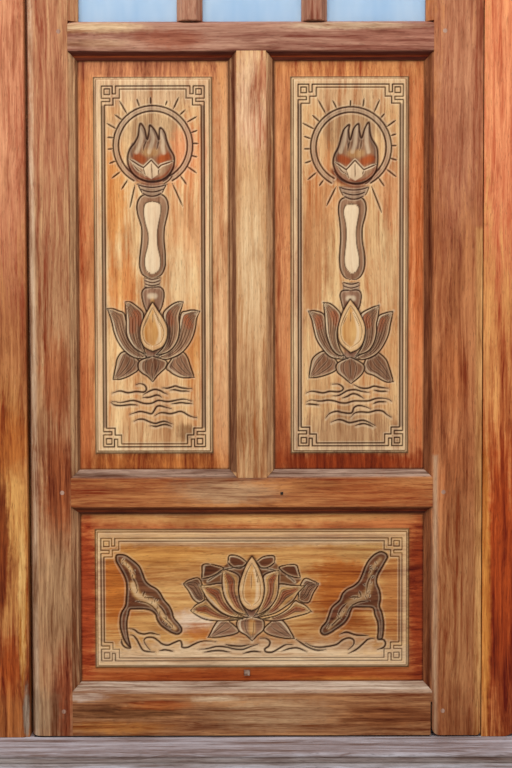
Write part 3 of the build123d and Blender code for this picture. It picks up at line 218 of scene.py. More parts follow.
FLOOR_HALF = 6.0
FLOOR_SHADES = [(0.0, "d4d2cd"), (1.0, "dcdad6")]
FLOOR_ROUGH = 0.85
CORNERS = ((-1, -1), (1, -1), (1, 1), (-1, 1))
floor_mesh = bpy.data.meshes.new("floor")
floor_mesh.from_pydata([(FLOOR_HALF * x, FLOOR_HALF * y, 0) for x, y in CORNERS], [], [(0, 1, 2, 3)])
floor = add_object("floor", floor_mesh)
floor_material = new_material("pale_floor")
paint = Graph(floor_material.node_tree)
spot = paint.node("ShaderNodeTexCoord").outputs["Object"]
paint.surface(paint.ramp(paint.noise(spot, scale=3.0), FLOOR_SHADES), FLOOR_ROUGH)
floor_mesh.materials.append(floor_material)


# Wood. Patches are the places where the varnish, bleaching and stains differ, and some are painted
# shade or painted highlight: each is an oval or a band on the face, with its own dark and light shade.

def oval(x, z, width, height, dark, light, amount, soft=0.5):
    return {"at": (x, z), "size": (width / 2, height / 2), "dark": dark, "light": light,
            "amount": amount, "soft": soft}


def band(x0, x1, z0, z1, dark, light, amount, soft):
    return {"box": (x0, x1, z0, z1), "dark": dark, "light": light, "amount": amount, "soft": soft}


DRIFT = 46.0
DRIFT_SHARE = 1.1
OVAL_RAG = 2.6
BAND_RAG = 3


def patch_mask(g, patch, grown):
    """How much a patch covers, from 0 to its amount, with edges that follow the grain."""
    soft, amount = patch["soft"], patch["amount"]
    if "box" not in patch:
        (cx, cz), (rx, rz) = patch["at"], patch["size"]
        drift = (min(DRIFT, DRIFT_SHARE * rx), 0.0, min(DRIFT, DRIFT_SHARE * rz))
        spot = g.separate(g.vector("MULTIPLY_ADD", grown["drift"], drift, grown["place"]))
        u = g.math("MULTIPLY", g.math("SUBTRACT", spot[0], cx), 1 / rx)
        v = g.math("MULTIPLY", g.math("SUBTRACT", spot[2], cz), 1 / rz)
        radius = g.math("SQRT", g.math("MULTIPLY_ADD", u, u, g.math("MULTIPLY", v, v)))
        radius = g.math("MULTIPLY_ADD", grown["rag"], OVAL_RAG, radius)
        return g.range(radius, 1 + soft, 1 - soft, 0.0, amount)
    x0, x1, z0, z1 = patch["box"]
    spot = g.separate(grown["place"])

    def beyond(axis, low, high):
        from_middle = g.math("ABSOLUTE", g.math("SUBTRACT", spot[axis], (low + high) / 2))
        return g.math("SUBTRACT", from_middle, (high - low) / 2)

    farther = g.math("MAXIMUM", beyond(0, x0, x1), beyond(2, z0, z1))
    away = g.math("MULTIPLY_ADD", grown["rag"], BAND_RAG * soft, farther)
    return g.range(away, soft, -soft, 0.0, amount)


def leaf_place(g):
    """The point shaded, in leaf millimetres."""
    local = g.node("ShaderNodeTexCoord").outputs["Object"]
    return g.vector("MULTIPLY_ADD", local, (1000, 1000, 1000), (-LEAF_LEFT, -LEAF_FRONT, -LEAF_FOOT))


# Sizes of the wood's features, across the grain and along it
SWAY_SIZE = (45, 260)
CLOUD_SIZE = (34, 150)
BROAD_SIZE = (17, 420)
MIDDLE_SIZE = (5, 150)
FINE_SIZE = (1.7, 30)
PORE_SIZE = (1.1, 12)
WANDER_SIZE = 60
SWAY = 22.0
SEED_STEP = (131.0, 57.0, 89.0)
STREAK_SHARES = (0.42, 0.4, 0.18)
STREAK_HALF = 0.105


def wood_growth(g, grain, seed, contrast=1.0):
    """The wood's streaks, pores and wandering, before any colour."""
    place = leaf_place(g)
    shifted = g.vector("ADD", place, tuple(seed * step for step in SEED_STEP))

    def figure(point, size, **settings):
        across, along = 1 / size[0], 1 / size[1]
        scale = (along, across, across) if grain == "x" else (across, across, along)
        return g.noise(g.vector("MULTIPLY", point, scale), **settings)

    sway = g.math("MULTIPLY", g.math("SUBTRACT", figure(shifted, SWAY_SIZE, detail=2.0), 0.5), SWAY)
    swayed = g.node("ShaderNodeCombineXYZ")
    for index in ((1, 2) if grain == "x" else (0, 1)):
        g.feed(swayed.inputs[index], sway)
    base = g.vector("ADD", shifted, swayed.outputs[0])
    broad = figure(base, BROAD_SIZE, rough=0.6)
    middle = figure(base, MIDDLE_SIZE, rough=0.65)
    fine = figure(base, FINE_SIZE, detail=2.0, rough=0.65)
    of_broad, of_middle, of_fine = STREAK_SHARES
    streak = g.math("MULTIPLY_ADD", middle, of_middle, g.math("MULTIPLY", fine, of_fine))
    streak = g.math("MULTIPLY_ADD", broad, of_broad, streak)
    half = STREAK_HALF / contrast
    wander = g.noise(g.vector("MULTIPLY", shifted, (1 / WANDER_SIZE,) * 3), 4.0, 0.5, 5.0, "Color")
    return {
        "place": place,
        "streak": g.range(streak, 0.5 - half, 0.5 + half, smooth=False),
        "fine": fine,
        "pores": g.range(figure(base, PORE_SIZE, detail=1.0), 0.6, 0.74),
        "cloud": g.range(figure(shifted, CLOUD_SIZE, detail=4.0, rough=0.6), 0.5, 0.68),
        "rag": g.math("SUBTRACT", g.math("MULTIPLY_ADD", broad, 0.5, g.math("MULTIPLY", middle, 0.5)), 0.5),
        "drift": g.vector("SUBTRACT", wander, (0.5, 0.5, 0.5)),
    }


DARK_SPREAD = (0.92, 0.62, 0.43)
LIGHT_SPREAD = (1.18, 1.13, 1.02)
CLOUD_SHADE = (0.52, 0.38, 0.3, 1.0)
CLOUD_STRENGTH = 0.55
PORE_SHADE = (0.012, 0.005, 0.002, 1)
PORE_DARK = 0.7
PORE_STRENGTH = 0.42


def spread(code, factors):
    """A shade a little beyond the one written, so that the streaks reach it."""
    return tuple(channel * factor for channel, factor in zip(colour(code), factors)) + (1.0,)


def wood_tint(g, grown, dark, light, *patches):
    """The wood's colour from its two shades and its patches."""
    low, high = spread(dark, DARK_SPREAD), spread(light, LIGHT_SPREAD)
    for patch in patches:
        mask = patch_mask(g, patch, grown)
        low = g.mix(mask, low, spread(patch["dark"], DARK_SPREAD))
        high = g.mix(mask, high, spread(patch["light"], LIGHT_SPREAD))
    shade = g.mix(grown["streak"], low, high)
    shade = g.mix(g.math("MULTIPLY", grown["cloud"], CLOUD_STRENGTH), shade, CLOUD_SHADE, "MULTIPLY")
    pored = g.mix(PORE_DARK, shade, PORE_SHADE)
    return g.mix(g.math("MULTIPLY", grown["pores"], PORE_STRENGTH), shade, pored)


WOOD_GLOSS = 0.4
WOOD_DULL = 0.6
WOOD_SHEEN = 0.1
GRAIN_BUMP = (0.0004, 0.6)


def wood_finish(g, grown, shade, dull=WOOD_DULL):
    """Roughness follows the streaks; pores and fine grain stand in the bump."""
    rough = g.range(grown["streak"], 0.0, 1.0, WOOD_GLOSS, dull, smooth=False)
    relief = g.math("SUBTRACT", g.math("MULTIPLY", grown["fine"], 0.8), grown["pores"])
    g.surface(shade, rough, g.bump(relief, *GRAIN_BUMP), **{"Specular IOR Level": WOOD_SHEEN})


def wood_material(name, grain, dark, light, *patches, seed, contrast=1.0, dull=WOOD_DULL):
    material = new_material(name)
    g = Graph(material.node_tree)
    grown = wood_growth(g, grain, seed, contrast)
    wood_finish(g, grown, wood_tint(g, grown, dark, light, *patches), dull)
    return material


# Carved panels, modelled as finely spaced points over the face

CURVE_STEPS = 6


def smooth_path(points, closed=False):
    """A Catmull-Rom curve through given points."""
    p = np.array(points, float)
    if len(p) < 3:
        return p
    if closed:
        p = np.vstack([p[-1], p, p[0], p[1]])
    else:
        p = np.vstack([2 * p[0] - p[1], p, 2 * p[-1] - p[-2]])
    t = np.linspace(0, 1, CURVE_STEPS, endpoint=False)[:, None]
    spans = []
    for a, b, c, d in zip(p[:-3], p[1:-2], p[2:-1], p[3:]):
        twice = 2 * b + (c - a) * t + (2 * a - 5 * b + 4 * c - d) * t**2 + (3 * b - a - 3 * c + d) * t**3
        spans.append(0.5 * twice)
    if not closed:
        spans.append(p[-2][None, :])
    return np.vstack(spans)


def ring_of(path):
    """A path that ends where it begins."""
    return np.vstack([path, path[:1]])


def ease(value, low, high):
    t = np.clip((value - low) / (high - low), 0, 1)
    return t * t * (3 - 2 * t)


def fade(gap, half, shares):
    """Rises from 0 to 1 between two shares of a line's half width."""
    return ease(gap, half * shares[0], half * shares[1])


MASKS = ("line", "pale", "petal", "gold", "red", "maroon", "mauve", "border")
CHANNELS = 4
MASK_GROUPS = {"carving_a": MASKS[:CHANNELS], "carving_b": MASKS[CHANNELS:]}

NO_LENGTH = 1e-9
FAR = 1e9

# A cut line: its half width at the tips, its slope, and where its painted shade and dirt and the painted
# highlight on its worn lips begin and end
TIP_SHARE = 0.35
SLOPE_SHARE = 1.25
SLOPE_CURVE = 0.8
SHADE_AND_DIRT_SHARES = (1.35, 0.5)
LIP_OPENS = (1.1, 1.7)
LIP_CLOSES = (3.6, 2.2)
SHADE_AND_DIRT_ON_LIP = 0.8
# A form laid on the field: the half width of its blurred edge, and how its rim hides tints
FORM_BLUR = 0.6
SWELL_SHARE = 2.2
RIM_START = (0.5, 1.2)
RIM_FADE = 1.2
RIM_HIDES = 0.75
FORM_WINDOW = 3.0
WASH_CORE = 0.25


class Relief:
    """A panel's face: depth back from the leaf's face at each point, and where each shade goes."""

    def __init__(self, xs, zs, depth_at):
        self.x, self.z = np.meshgrid(xs, zs)
        self.depth = depth_at(self.x, self.z)
        self.mask = {name: np.zeros_like(self.x) for name in MASKS}

    def window(self, path, reach):
        """The part of the grid that lies within reach of a path."""
        low, high = path.min(axis=0) - reach, path.max(axis=0) + reach
        columns = np.searchsorted(self.x[0], (low[0], high[0]))
        rows = np.searchsorted(self.z[:, 0], (low[1], high[1]))
        return slice(*rows), slice(*columns)

    def distance(self, path, area):
        """Distance to a path, and how far along it from 0 to 1."""
        x, z = self.x[area], self.z[area]
        best = np.full(x.shape, FAR)
        along = np.zeros(x.shape)
        steps = np.hypot(*np.diff(path, axis=0).T)
        total = steps.sum()
        run = 0.0
        for (ax, az), (bx, bz), length in zip(path[:-1], path[1:], steps):
            if length < NO_LENGTH:
                continue
            ux, uz = (bx - ax) / length, (bz - az) / length
            t = np.clip((x - ax) * ux + (z - az) * uz, 0, length)
            gap = np.hypot(x - ax - t * ux, z - az - t * uz)
            closer = gap < best
            best = np.where(closer, gap, best)
            along = np.where(closer, (run + t) / total, along)
            run += length
        return best, along

    def inside(self, path, area):
        """Signed distance to a closed outline, positive within it."""
        ring = ring_of(path)
        gap = self.distance(ring, area)[0]
        x, z = self.x[area], self.z[area]
        within = np.zeros(x.shape, bool)
        for (ax, az), (bx, bz) in zip(ring[:-1], ring[1:]):
            if az != bz:
                crosses = (az > z) != (bz > z)
                within ^= crosses & (x < (bx - ax) * (z - az) / (bz - az) + ax)
        return np.where(within, gap, -gap)

    def tint(self, name, area, amount):
        mask = self.mask[name]
        mask[area] = np.maximum(mask[area], amount)

    def groove(self, points, width, cut, dark=1.0, lip=0.5, ends=0.12, smooth=True):
        """An incised line, dark in its bottom with painted shade and dirt, and pale along its edges with
        painted highlight and wear.
        """
        path = smooth_path(points) if smooth else np.array(points, float)
        area = self.window(path, width * 3)
        gap, along = self.distance(path, area)
        half = np.full(gap.shape, width / 2)
        if ends:
            half = half * (TIP_SHARE + (1 - TIP_SHARE) * ease(np.minimum(along, 1 - along), 0, ends))
        self.depth[area] += cut * np.clip(1 - gap / (half * SLOPE_SHARE), 0, 1) ** SLOPE_CURVE
        # Painted shade and dirt in the cut's bottom, then painted highlight on its lips
        shade_and_dirt = dark * fade(gap, half, SHADE_AND_DIRT_SHARES)
        self.tint("line", area, shade_and_dirt)
        self.tint("pale", area, lip * fade(gap, half, LIP_OPENS) * fade(gap, half, LIP_CLOSES))
        pale = self.mask["pale"]
        pale[area] = np.clip(pale[area] * (1 - SHADE_AND_DIRT_ON_LIP * shade_and_dirt), 0, 1)

    def shape(self, outline, sunk, tones, crown=0.0, scoop=0.0, edge=3.0, rim=0.0, rim_width=2.6,
              smooth=True):
        """A closed form laid over what is already there.

        sunk is how far its edge lies behind the field's face, crown how far
        its middle swells out of that, and scoop how far it is hollowed.
        """
        path = smooth_path(outline, closed=True) if smooth else np.array(outline, float)
        area = self.window(path, FORM_WINDOW)
        within = self.inside(path, area)
        on = ease(within, -FORM_BLUR, FORM_BLUR)
        form = FIELD_DEPTH + sunk - crown * ease(within, 0, edge * SWELL_SHARE)
        form = form + scoop * ease(within, rim_width * 0.8, rim_width + edge)
        self.depth[area] = self.depth[area] * (1 - on) + form * on
        for name in MASKS[:-1]:
            mask = self.mask[name]
            mask[area] = mask[area] * (1 - on) + tones.get(name, 0.0) * on
        if rim:
            strip = on * ease(within, *RIM_START) * ease(within, rim_width + RIM_FADE, rim_width)
            self.tint("pale", area, rim * strip)
            for name in ("petal", "maroon", "mauve"):
                self.mask[name][area] *= 1 - RIM_HIDES * strip

    def wash(self, points, width, name, amount, smooth=True):
        """A soft broad tint along a path."""
        path = smooth_path(points) if smooth else np.array(points, float)
        area = self.window(path, width)
        gap = self.distance(path, area)[0]
        self.tint(name, area, amount * ease(gap, width, width * WASH_CORE))


def spaced(start, stop, step):
    count = max(1, int(round(abs(stop - start) / step)))
    return list(np.linspace(start, stop, count + 1))[:-1]


# Section through a panel from its tongue to the field, each wall a little sloped
# and worn. Corners lie in from the field's edge, or from the foot of its step.
TONGUE_INSET = 5.0
SIGHT_INSET = 14.0
BORDER_DEPTH = 15.2
BORDER_CREST = 12.2
STEP_DEPTH = 9.7
FIELD_DEPTH = 5.5
PANEL_BACK = 27.0
STEP_WIDTH = 5.0
FIELD_CORNERS = ((-4, BORDER_CREST + 0.35), (-0.4, BORDER_CREST), (0.3, STEP_DEPTH + 0.4), (1.1, STEP_DEPTH))
STEP_CORNERS = ((-1.0, STEP_DEPTH), (-0.1, STEP_DEPTH - 0.3), (0.5, FIELD_DEPTH + 0.5), (1.4, FIELD_DEPTH))
BORDER_SPACING = 5.0
LEAST_SPACING = 0.4
EDGE_CORE = 0.3
# Lines that follow a panel's edges: shade, start, distance in from it, reach and amount
# The dark lines are painted shadow and dirt in the corners; the pale ones are worn arrises.
EDGE_LINES = (
    ("line", "field", 0.9, 1.3, 0.85), ("line", "step", 0.2, 1.0, 0.7), ("line", "sight", 0.8, 2.8, 0.85),
    ("pale", "step", 2.6, 2.0, 0.7), ("pale", "step", 6.5, 5.0, 0.35), ("pale", "step", -1.6, 1.6, 0.55),
)


def make_panel(name, opening, field_inset, columns, rows, carve, motif):
    """Builds a carved panel that stands for its CAD node."""
    left, foot, right, top = opening
    starts = {"sight": SIGHT_INSET, "field": field_inset, "step": field_inset + STEP_WIDTH}
    corners = [(TONGUE_INSET, BORDER_DEPTH), (SIGHT_INSET, BORDER_DEPTH)]
    for start, places in (("field", FIELD_CORNERS), ("step", STEP_CORNERS)):
        corners += [(starts[start] + along, depth) for along, depth in places]
    insets, depths = np.array(corners).T
    edge = [*insets[:2], *spaced(insets[1] + 4, insets[2], BORDER_SPACING), *insets[2:]]

    def lines(low, high, inner):
        first = [low + d for d in edge]
        last = [high - d for d in reversed(edge)]
        kept = [v for v in inner if first[-1] + LEAST_SPACING < v < last[0] - LEAST_SPACING]
        return np.array(first + kept + last)

    def inset_at(x, z):
        return np.minimum(np.minimum(x - left, right - x), np.minimum(z - foot, top - z))

    def depth_at(x, z):
        return np.interp(inset_at(x, z), insets, depths)

    relief = Relief(lines(left, right, columns), lines(foot, top, rows), depth_at)
    inset = inset_at(relief.x, relief.z)
    relief.mask["border"] = ease(inset, field_inset + FORM_BLUR, field_inset - FORM_BLUR)
    for shade, start, along, reach, amount in EDGE_LINES:
        relief.tint(shade, ..., amount * ease(abs(inset - (starts[start] + along)), reach, EDGE_CORE))
    carve(relief, motif)

    # The face's grid, a wall of quads down from its rim, and one face behind
    front = np.column_stack([relief.x.ravel(), relief.depth.ravel(), relief.z.ravel()])
    index = np.arange(len(front)).reshape(relief.x.shape)
    rim = np.concatenate([index[0], index[1:, -1], index[-1, -2::-1], index[-2:0:-1, 0]])
    back = front[rim]
    back[:, 1] = PANEL_BACK
    points = (np.vstack([front, back]) + (LEAF_LEFT, LEAF_FRONT, LEAF_FOOT)) / 1000
    quads = np.stack([index[:-1, :-1], index[:-1, 1:], index[1:, 1:], index[1:, :-1]], axis=-1)
    quads = quads.reshape(-1, 4)
    below = np.arange(len(rim)) + len(front)
    walls = np.stack([rim, below, np.roll(below, -1), np.roll(rim, -1)], axis=-1)
    loops = np.concatenate([quads.ravel(), walls.ravel(), below[::-1]])
    face_starts = 4 * np.arange(len(quads) + len(walls) + 1)
    mesh = bpy.data.meshes.new(name)
    mesh.vertices.add(len(points))
    mesh.vertices.foreach_set("co", points.astype(np.float32).ravel())
    mesh.loops.add(len(loops))
    mesh.loops.foreach_set("vertex_index", loops.astype(np.int32))
    mesh.polygons.add(len(face_starts))
    mesh.polygons.foreach_set("loop_start", face_starts.astype(np.int32))
    mesh.polygons.foreach_set("use_smooth", np.arange(len(face_starts)) < len(quads))
    for group, names in MASK_GROUPS.items():
        values = np.zeros((len(points), CHANNELS), np.float32)
        for channel, mask_name in enumerate(names):
            values[:len(front), channel] = relief.mask[mask_name].ravel()
            values[len(front):, channel] = mask_name == "border"
        layer = mesh.color_attributes.new(group, "FLOAT_COLOR", "POINT")
        layer.data.foreach_set("color", values.ravel())
    mesh.validate()
    mesh.update()
    panel = add_object(name, mesh)
    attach(panel, "leaf")
    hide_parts(name)
    return panel


# Motifs. Each curve's points follow the carving, as (x, z) on the leaf.

BETWEEN_POINTS = 24
ARC_POINTS = 40


def blade(tip, foot, left, right):
    """The two edges of a leaf or petal, which share its tip and its foot."""
    return (tip, *left, foot), (tip, *right, foot)


def between(edges, share):
    """A line that lies a given share of the way from one edge to the other."""
    ends = []
    for curve in map(smooth_path, edges):
        run = np.concatenate([[0], np.cumsum(np.hypot(*np.diff(curve, axis=0).T))])
        places = np.linspace(0, run[-1], BETWEEN_POINTS)
        ends.append(np.column_stack([np.interp(places, run, curve[:, i]) for i in (0, 1)]))
    return ends[0] * (1 - share) + ends[1] * share


def closed_form(edges):
    """The outline of a leaf or petal from its two edges, sharp at both tips."""
    left, right = map(smooth_path, edges)
    return np.vstack([left, right[::-1][1:-1]])


def petal(relief, edges, tones, scoop=1.5, veins=(0.3, 0.5, 0.7), rim=0.55, outline=2.8):
    """A hollowed petal with a pale rim, worn and with painted highlight, fine veins and a cut outline."""
    form = closed_form(edges)
    relief.shape(form, 0.5, tones, scoop=scoop, edge=5.0, rim=rim, rim_width=2.1, smooth=False)
    for share in veins:
        relief.groove(between(edges, share), width=1.6, cut=0.6, dark=0.7, lip=0.2, ends=0.45, smooth=False)
    # Painted highlight along the outer edge and at the tip
    relief.wash(between(edges, 0.11), 2.3, "pale", rim * 1.6, smooth=False)
    relief.wash(between(edges, 0.5)[:3], 5.0, "pale", rim * 0.8, smooth=False)
    for curve in edges:
        relief.groove(curve, width=outline, cut=1.5, lip=0.25)


FRET_OUTER = (
    (0, 27), (14.7, 27), (14.7, 21.3), (0, 21.3), (0, 0), (19.1, 0), (19.1, 13.7), (24.7, 13.7), (24.7, 0),
)
FRET_INNER = ((5.3, 33.2), (20.4, 33.2), (20.4, 21), (31.8, 21), (31.8, 5.3))
FRET_CELL = ((4.9, 4.9), (14.7, 4.9), (14.7, 14.8), (4.9, 14.8))
FRET_BAND_INSET = 2.6
FRET_BAND_END = 36


def carve_fret(relief, left, foot, right, top, side_band_shade, line_weight=1.0):
    """Two lines round the field with a key pattern in each corner."""
    corners = ((left, top, 1, -1), (right, top, -1, -1), (right, foot, -1, 1), (left, foot, 1, 1))

    def turned(pattern, corner):
        x, z, across, up = corner
        return [(x + across * u, z + up * v) for u, v in pattern]

    rings = []
    for pattern in (FRET_OUTER, FRET_INNER):
        ring = []
        for index, corner in enumerate(corners):
            turn = turned(pattern, corner)
            ring += turn[::-1] if index % 2 else turn
        rings.append(ring)
    rings += [turned(FRET_CELL, corner) for corner in corners]
    for ring in rings:
        relief.groove(ring_of(ring), width=2.3 * line_weight, cut=1.2, dark=line_weight, lip=0.45, ends=0, smooth=False)
    # Painted shade in the strip between the two lines down each side
    for middle in (left + FRET_BAND_INSET, right - FRET_BAND_INSET):
        ends = [(middle, foot + FRET_BAND_END), (middle, top - FRET_BAND_END)]
        relief.wash(ends, 4.2, "maroon", side_band_shade, smooth=False)


HALO_GAP = 29


def carve_halo(relief, centre, outer, inner, rays):
    """Two rings round the flame, open over the cup, and the rays outside them."""
    angles = np.radians(np.linspace(HALO_GAP - 90, 270 - HALO_GAP, ARC_POINTS))

    def arc(radius):
        return np.column_stack([centre[0] + radius * np.cos(angles), centre[1] + radius * np.sin(angles)])

    relief.wash(arc((outer + inner) / 2), (outer - inner) / 2 + 3, "mauve", 0.62, smooth=False)
    for radius in (outer, inner):
        relief.groove(arc(radius), width=2.8, cut=1.4, lip=0.45, ends=0, smooth=False)
    for ray_ends in rays:
        relief.groove(ray_ends, width=2.9, cut=1.4, lip=0.4, ends=0.22, smooth=False)


def carve_flame(relief, flame):
    """The flame with its glowing foot, the three front petals and the ring under them."""
    relief.shape(flame["outline"], 0.3, {"petal": 0.75, "mauve": 0.45}, crown=0.6, scoop=1.3, edge=7.0)
    # Pale washes down the tongues are painted highlights; the shades are painted shade in the valleys
    # between them
    for line in flame["streaks"]:
        relief.wash(line, 5.5, "pale", 0.5)
    for line in flame["shades"]:
        relief.wash(line, 4.4, "mauve", 0.9)
        relief.wash(line, 2.4, "line", 0.4)
    for line, reach, tone, amount in flame["glow"]:
        relief.wash(line, reach, tone, amount)
    for line in flame["creases"]:
        relief.groove(line, width=2.4, cut=1.2, dark=0.75, lip=0.2, ends=0.5)
    tones = {"petal": 0.8, "mauve": 0.3, "pale": 0.1}
    relief.shape(flame["petals"], 1.0, tones, crown=0.9, edge=5.0, smooth=False)
    relief.shape(flame["lozenge"], 1.0, {"pale": 0.75, "petal": 0.3}, crown=0.7, edge=3.0, smooth=False)
    relief.groove(flame["zigzag"], width=2.2, cut=0.9, dark=0.9, lip=0.9, ends=0.1, smooth=False)
    for line in flame["veins"]:
        relief.groove(line, width=1.7, cut=0.6, dark=0.8, lip=0.8, ends=0.4)
    relief.wash(flame["ring"], 12.0, "red", 0.45)
    relief.wash(flame["ring"], 9.0, "maroon", 0.9)
    relief.groove(flame["ring"], width=3.6, cut=1.6, dark=0.85, lip=0.0, ends=0.25)
    outline = smooth_path(flame["outline"], closed=True)
    # Painted shade round the flame's outline
    relief.wash(outline, 4.0, "maroon", 0.55, smooth=False)
    relief.groove(ring_of(outline), width=2.6, cut=1.5, dark=0.95, lip=0.25, ends=0, smooth=False)


# A line that sags between its ends: share of its half length, and height over its middle
SAG = ((-1, 5.5), (-0.5, 1.4), (0, 0), (0.5, 1.4), (1, 5.5))


def carve_cup(relief, x, arcs, sides):
    """The cup below the flame, in bands that sag between its edges."""
    (top_half, top), (foot_half, foot) = arcs[0], arcs[-1]
    form = [(x - top_half, top + 7), (x - foot_half, foot + 3), (x, foot - 1)]
    form += [(x + foot_half, foot + 3), (x + top_half, top + 7)]
    relief.shape(form, 0.6, {"petal": 0.35, "mauve": 0.85}, crown=0.8, edge=4.0, smooth=False)
    for half, z in arcs:
        relief.groove([(x + share * half, z + rise) for share, rise in SAG], width=2.2, cut=1.2, lip=0.35)
    for line in sides:
        relief.groove(line, width=2.2, cut=1.0, dark=0.9)


def carve_handle(relief, handle):
    """The turned handle between cup and lotus, with a pale flat down its middle."""
    tones = {"petal": 0.7, "mauve": 0.6}
    relief.shape(closed_form(handle["outer"]), 1.5, tones, crown=1.7, edge=6.0, smooth=False)
    relief.shape(closed_form(handle["inner"]), 0.5, {"pale": 1.0}, crown=0.4, edge=4.0, smooth=False)
    for curve in handle["inner"]:
        relief.wash(curve, 2.6, "petal", 0.55)
        relief.groove(curve, width=2.2, cut=0.8, dark=0.7, lip=0.0)
    for curve in handle["outer"]:
        relief.groove(curve, width=2.5, cut=1.7, lip=0.4)
    x0, x1 = handle["neck"]
    foot, top = handle["rings"][-1] - 3, handle["rings"][0] + 1
    waist = (top + foot) / 2
    neck = [(x0, top), (x0 + 1.5, waist), (x0 + 1, foot), (x1 - 1, foot), (x1 - 1.5, waist), (x1, top)]
    relief.shape(neck, 1.4, {"petal": 0.45, "mauve": 0.75}, crown=1.2, edge=5.0, smooth=False)
    for z in handle["rings"]:
        sag = [(x0 + 1, z + 2.4), ((x0 + x1) / 2, z - 1.6), (x1 - 1, z + 2.4)]
        relief.groove(sag, width=1.9, cut=1.3, dark=0.9, lip=0.55)
    tones = {"petal": 0.45, "mauve": 0.85}
    relief.shape(closed_form(handle["knob"]), 1.3, tones, crown=1.6, edge=6.0, smooth=False)
    x, z = handle["heart"]
    relief.wash([(x - 4, z + 4), (x + 4, z + 4)], 7.5, "pale", 0.75)
    relief.wash([(x, z), (x, z - 6)], 5.0, "gold", 0.6)
    for curve in handle["knob"]:
        relief.groove(curve, width=2.3, cut=1.5, dark=0.95, lip=0.3)


def carve_drop(relief, outer, inner, veins):
    """The golden drop at the heart of a lotus, inside a double rim."""
    ring = closed_form(outer)
    foot = ring[np.argmin(ring[:, 1])]
    relief.wash([foot + (-7, -6), foot + (7, -6)], 13.0, "mauve", 0.95, smooth=False)
    # Painted shade round the drop, where the petals behind it lie
    relief.wash(ring, 7.0, "maroon", 0.7, smooth=False)
    relief.groove(ring_of(ring), width=5.0, cut=2.0, dark=0.9, lip=0.0, ends=0, smooth=False)
    relief.shape(ring, -0.6, {"gold": 0.8, "pale": 0.3, "mauve": 0.2}, crown=-0.2, smooth=False)
    relief.wash(outer[1][2:], 3.0, "mauve", 0.6)
    relief.shape(closed_form(inner), 0.9, {"gold": 1.0}, crown=2.0, edge=10.0, smooth=False)
    relief.wash(between(inner, 0.3)[8:20], 9.0, "red", 0.26, smooth=False)
    relief.wash(between(inner, 0.82)[4:20], 4.5, "pale", 0.7, smooth=False)
    for curve in inner:
        relief.groove(curve, width=1.5, cut=0.6, dark=0.55, lip=0.7)
    for line in veins:
        relief.groove(line, width=1.3, cut=0.5, dark=0.7, lip=0.3, ends=0.5)


def carve_waves(relief, waves):
    """Lines of water under the lotus, each with painted shade along it and a worn edge below it, pale with
    painted highlight.
    """
    for line in waves:
        relief.wash(np.array(line) - (0, 3.2), 3.0, "pale", 0.4)
        relief.wash(line, 4.4, "petal", 0.45)
        relief.groove(line, width=3.1, cut=1.5, lip=0.35, ends=0.25)


LEAF_TONES = {"petal": 0.95, "maroon": 0.2, "mauve": 0.4}
PETAL_TONES = {"petal": 1.0, "mauve": 0.2}


def carve_upper(relief, motif):
    """An upper panel: a flame in a halo, on a handle that stands in a lotus over water."""
    carve_fret(relief, *motif["fret"], 0.8)
    carve_halo(relief, *motif["halo"], motif["rays"])
    for edges in motif["leaves"]:
        petal(relief, edges, LEAF_TONES, scoop=1.1, veins=(0.25, 0.5, 0.72), rim=0.35)
    carve_handle(relief, motif["handle"])
    carve_cup(relief, *motif["cup"])
    carve_flame(relief, motif["flame"])
    for edges in motif["petals"]:
        petal(relief, edges, PETAL_TONES, veins=(0.18, 0.36, 0.54, 0.72))
    for line in motif["blush"]:
        relief.wash(line, 10.0, "red", 0.6)
    carve_drop(relief, *motif["drop"])
    carve_waves(relief, motif["waves"])


MARK_REACH = 0.8
MARK_TURNS = (0.4, 2.4)
MARK_HALVES = (1.6, 3.4)


def chisel_marks(relief, path, reach, count):
    """Short cuts left by the chisel, scattered along a path."""
    scatter = np.random.default_rng(count + int(path[0][0]))
    line = smooth_path(path)
    for _ in range(count):
        x, z = line[scatter.integers(0, len(line))] + scatter.uniform(-reach, reach, 2) * MARK_REACH
        turn, half = scatter.uniform(*MARK_TURNS), scatter.uniform(*MARK_HALVES)
        across, up = half * math.cos(turn), half * math.sin(turn)
        mark = [(x - across, z - up), (x + across, z + up)]
        relief.groove(mark, width=1.5, cut=0.7, dark=0.7, lip=0.55, smooth=False)


HAND_TONES = {"maroon": 0.8, "mauve": 0.3, "petal": 0.4}
BARE_REACHES = (("arm", 6.0), ("palm", 10.5), ("fingers", 6.5))


def carve_hand(relief, hand):
    """An open hand that reaches towards the lotus, dark at its edge and bare in the palm."""
    relief.shape(hand["outline"], 1.9, HAND_TONES, crown=2.0, edge=6.0)
    for name, reach in BARE_REACHES:
        relief.wash(hand[name], reach, "gold", hand["bare"])
        relief.wash(hand[name], reach * 0.6, "pale", hand["bare"] * 0.5)
        chisel_marks(relief, hand[name], reach, 9)
    relief.wash(hand["thumb"], 3.5, "mauve", 0.6)
    for line in hand["creases"]:
        relief.groove(line, width=2.2, cut=1.1, dark=0.8, lip=0.35, ends=0.3)
    ring = ring_of(smooth_path(hand["outline"], closed=True))
    relief.groove(ring, width=2.8, cut=1.4, dark=0.95, lip=0.3, ends=0, smooth=False)


# Washes down a front petal: share across it, its part of the length, width, tint and amount
PETAL_GLOW = (
    (0.22, slice(1, 22), 5.5, "gold", 0.85), (0.8, slice(1, 14), 4.5, "gold", 0.6),
    (0.5, slice(4, 18), 6.0, "red", 0.6),
)


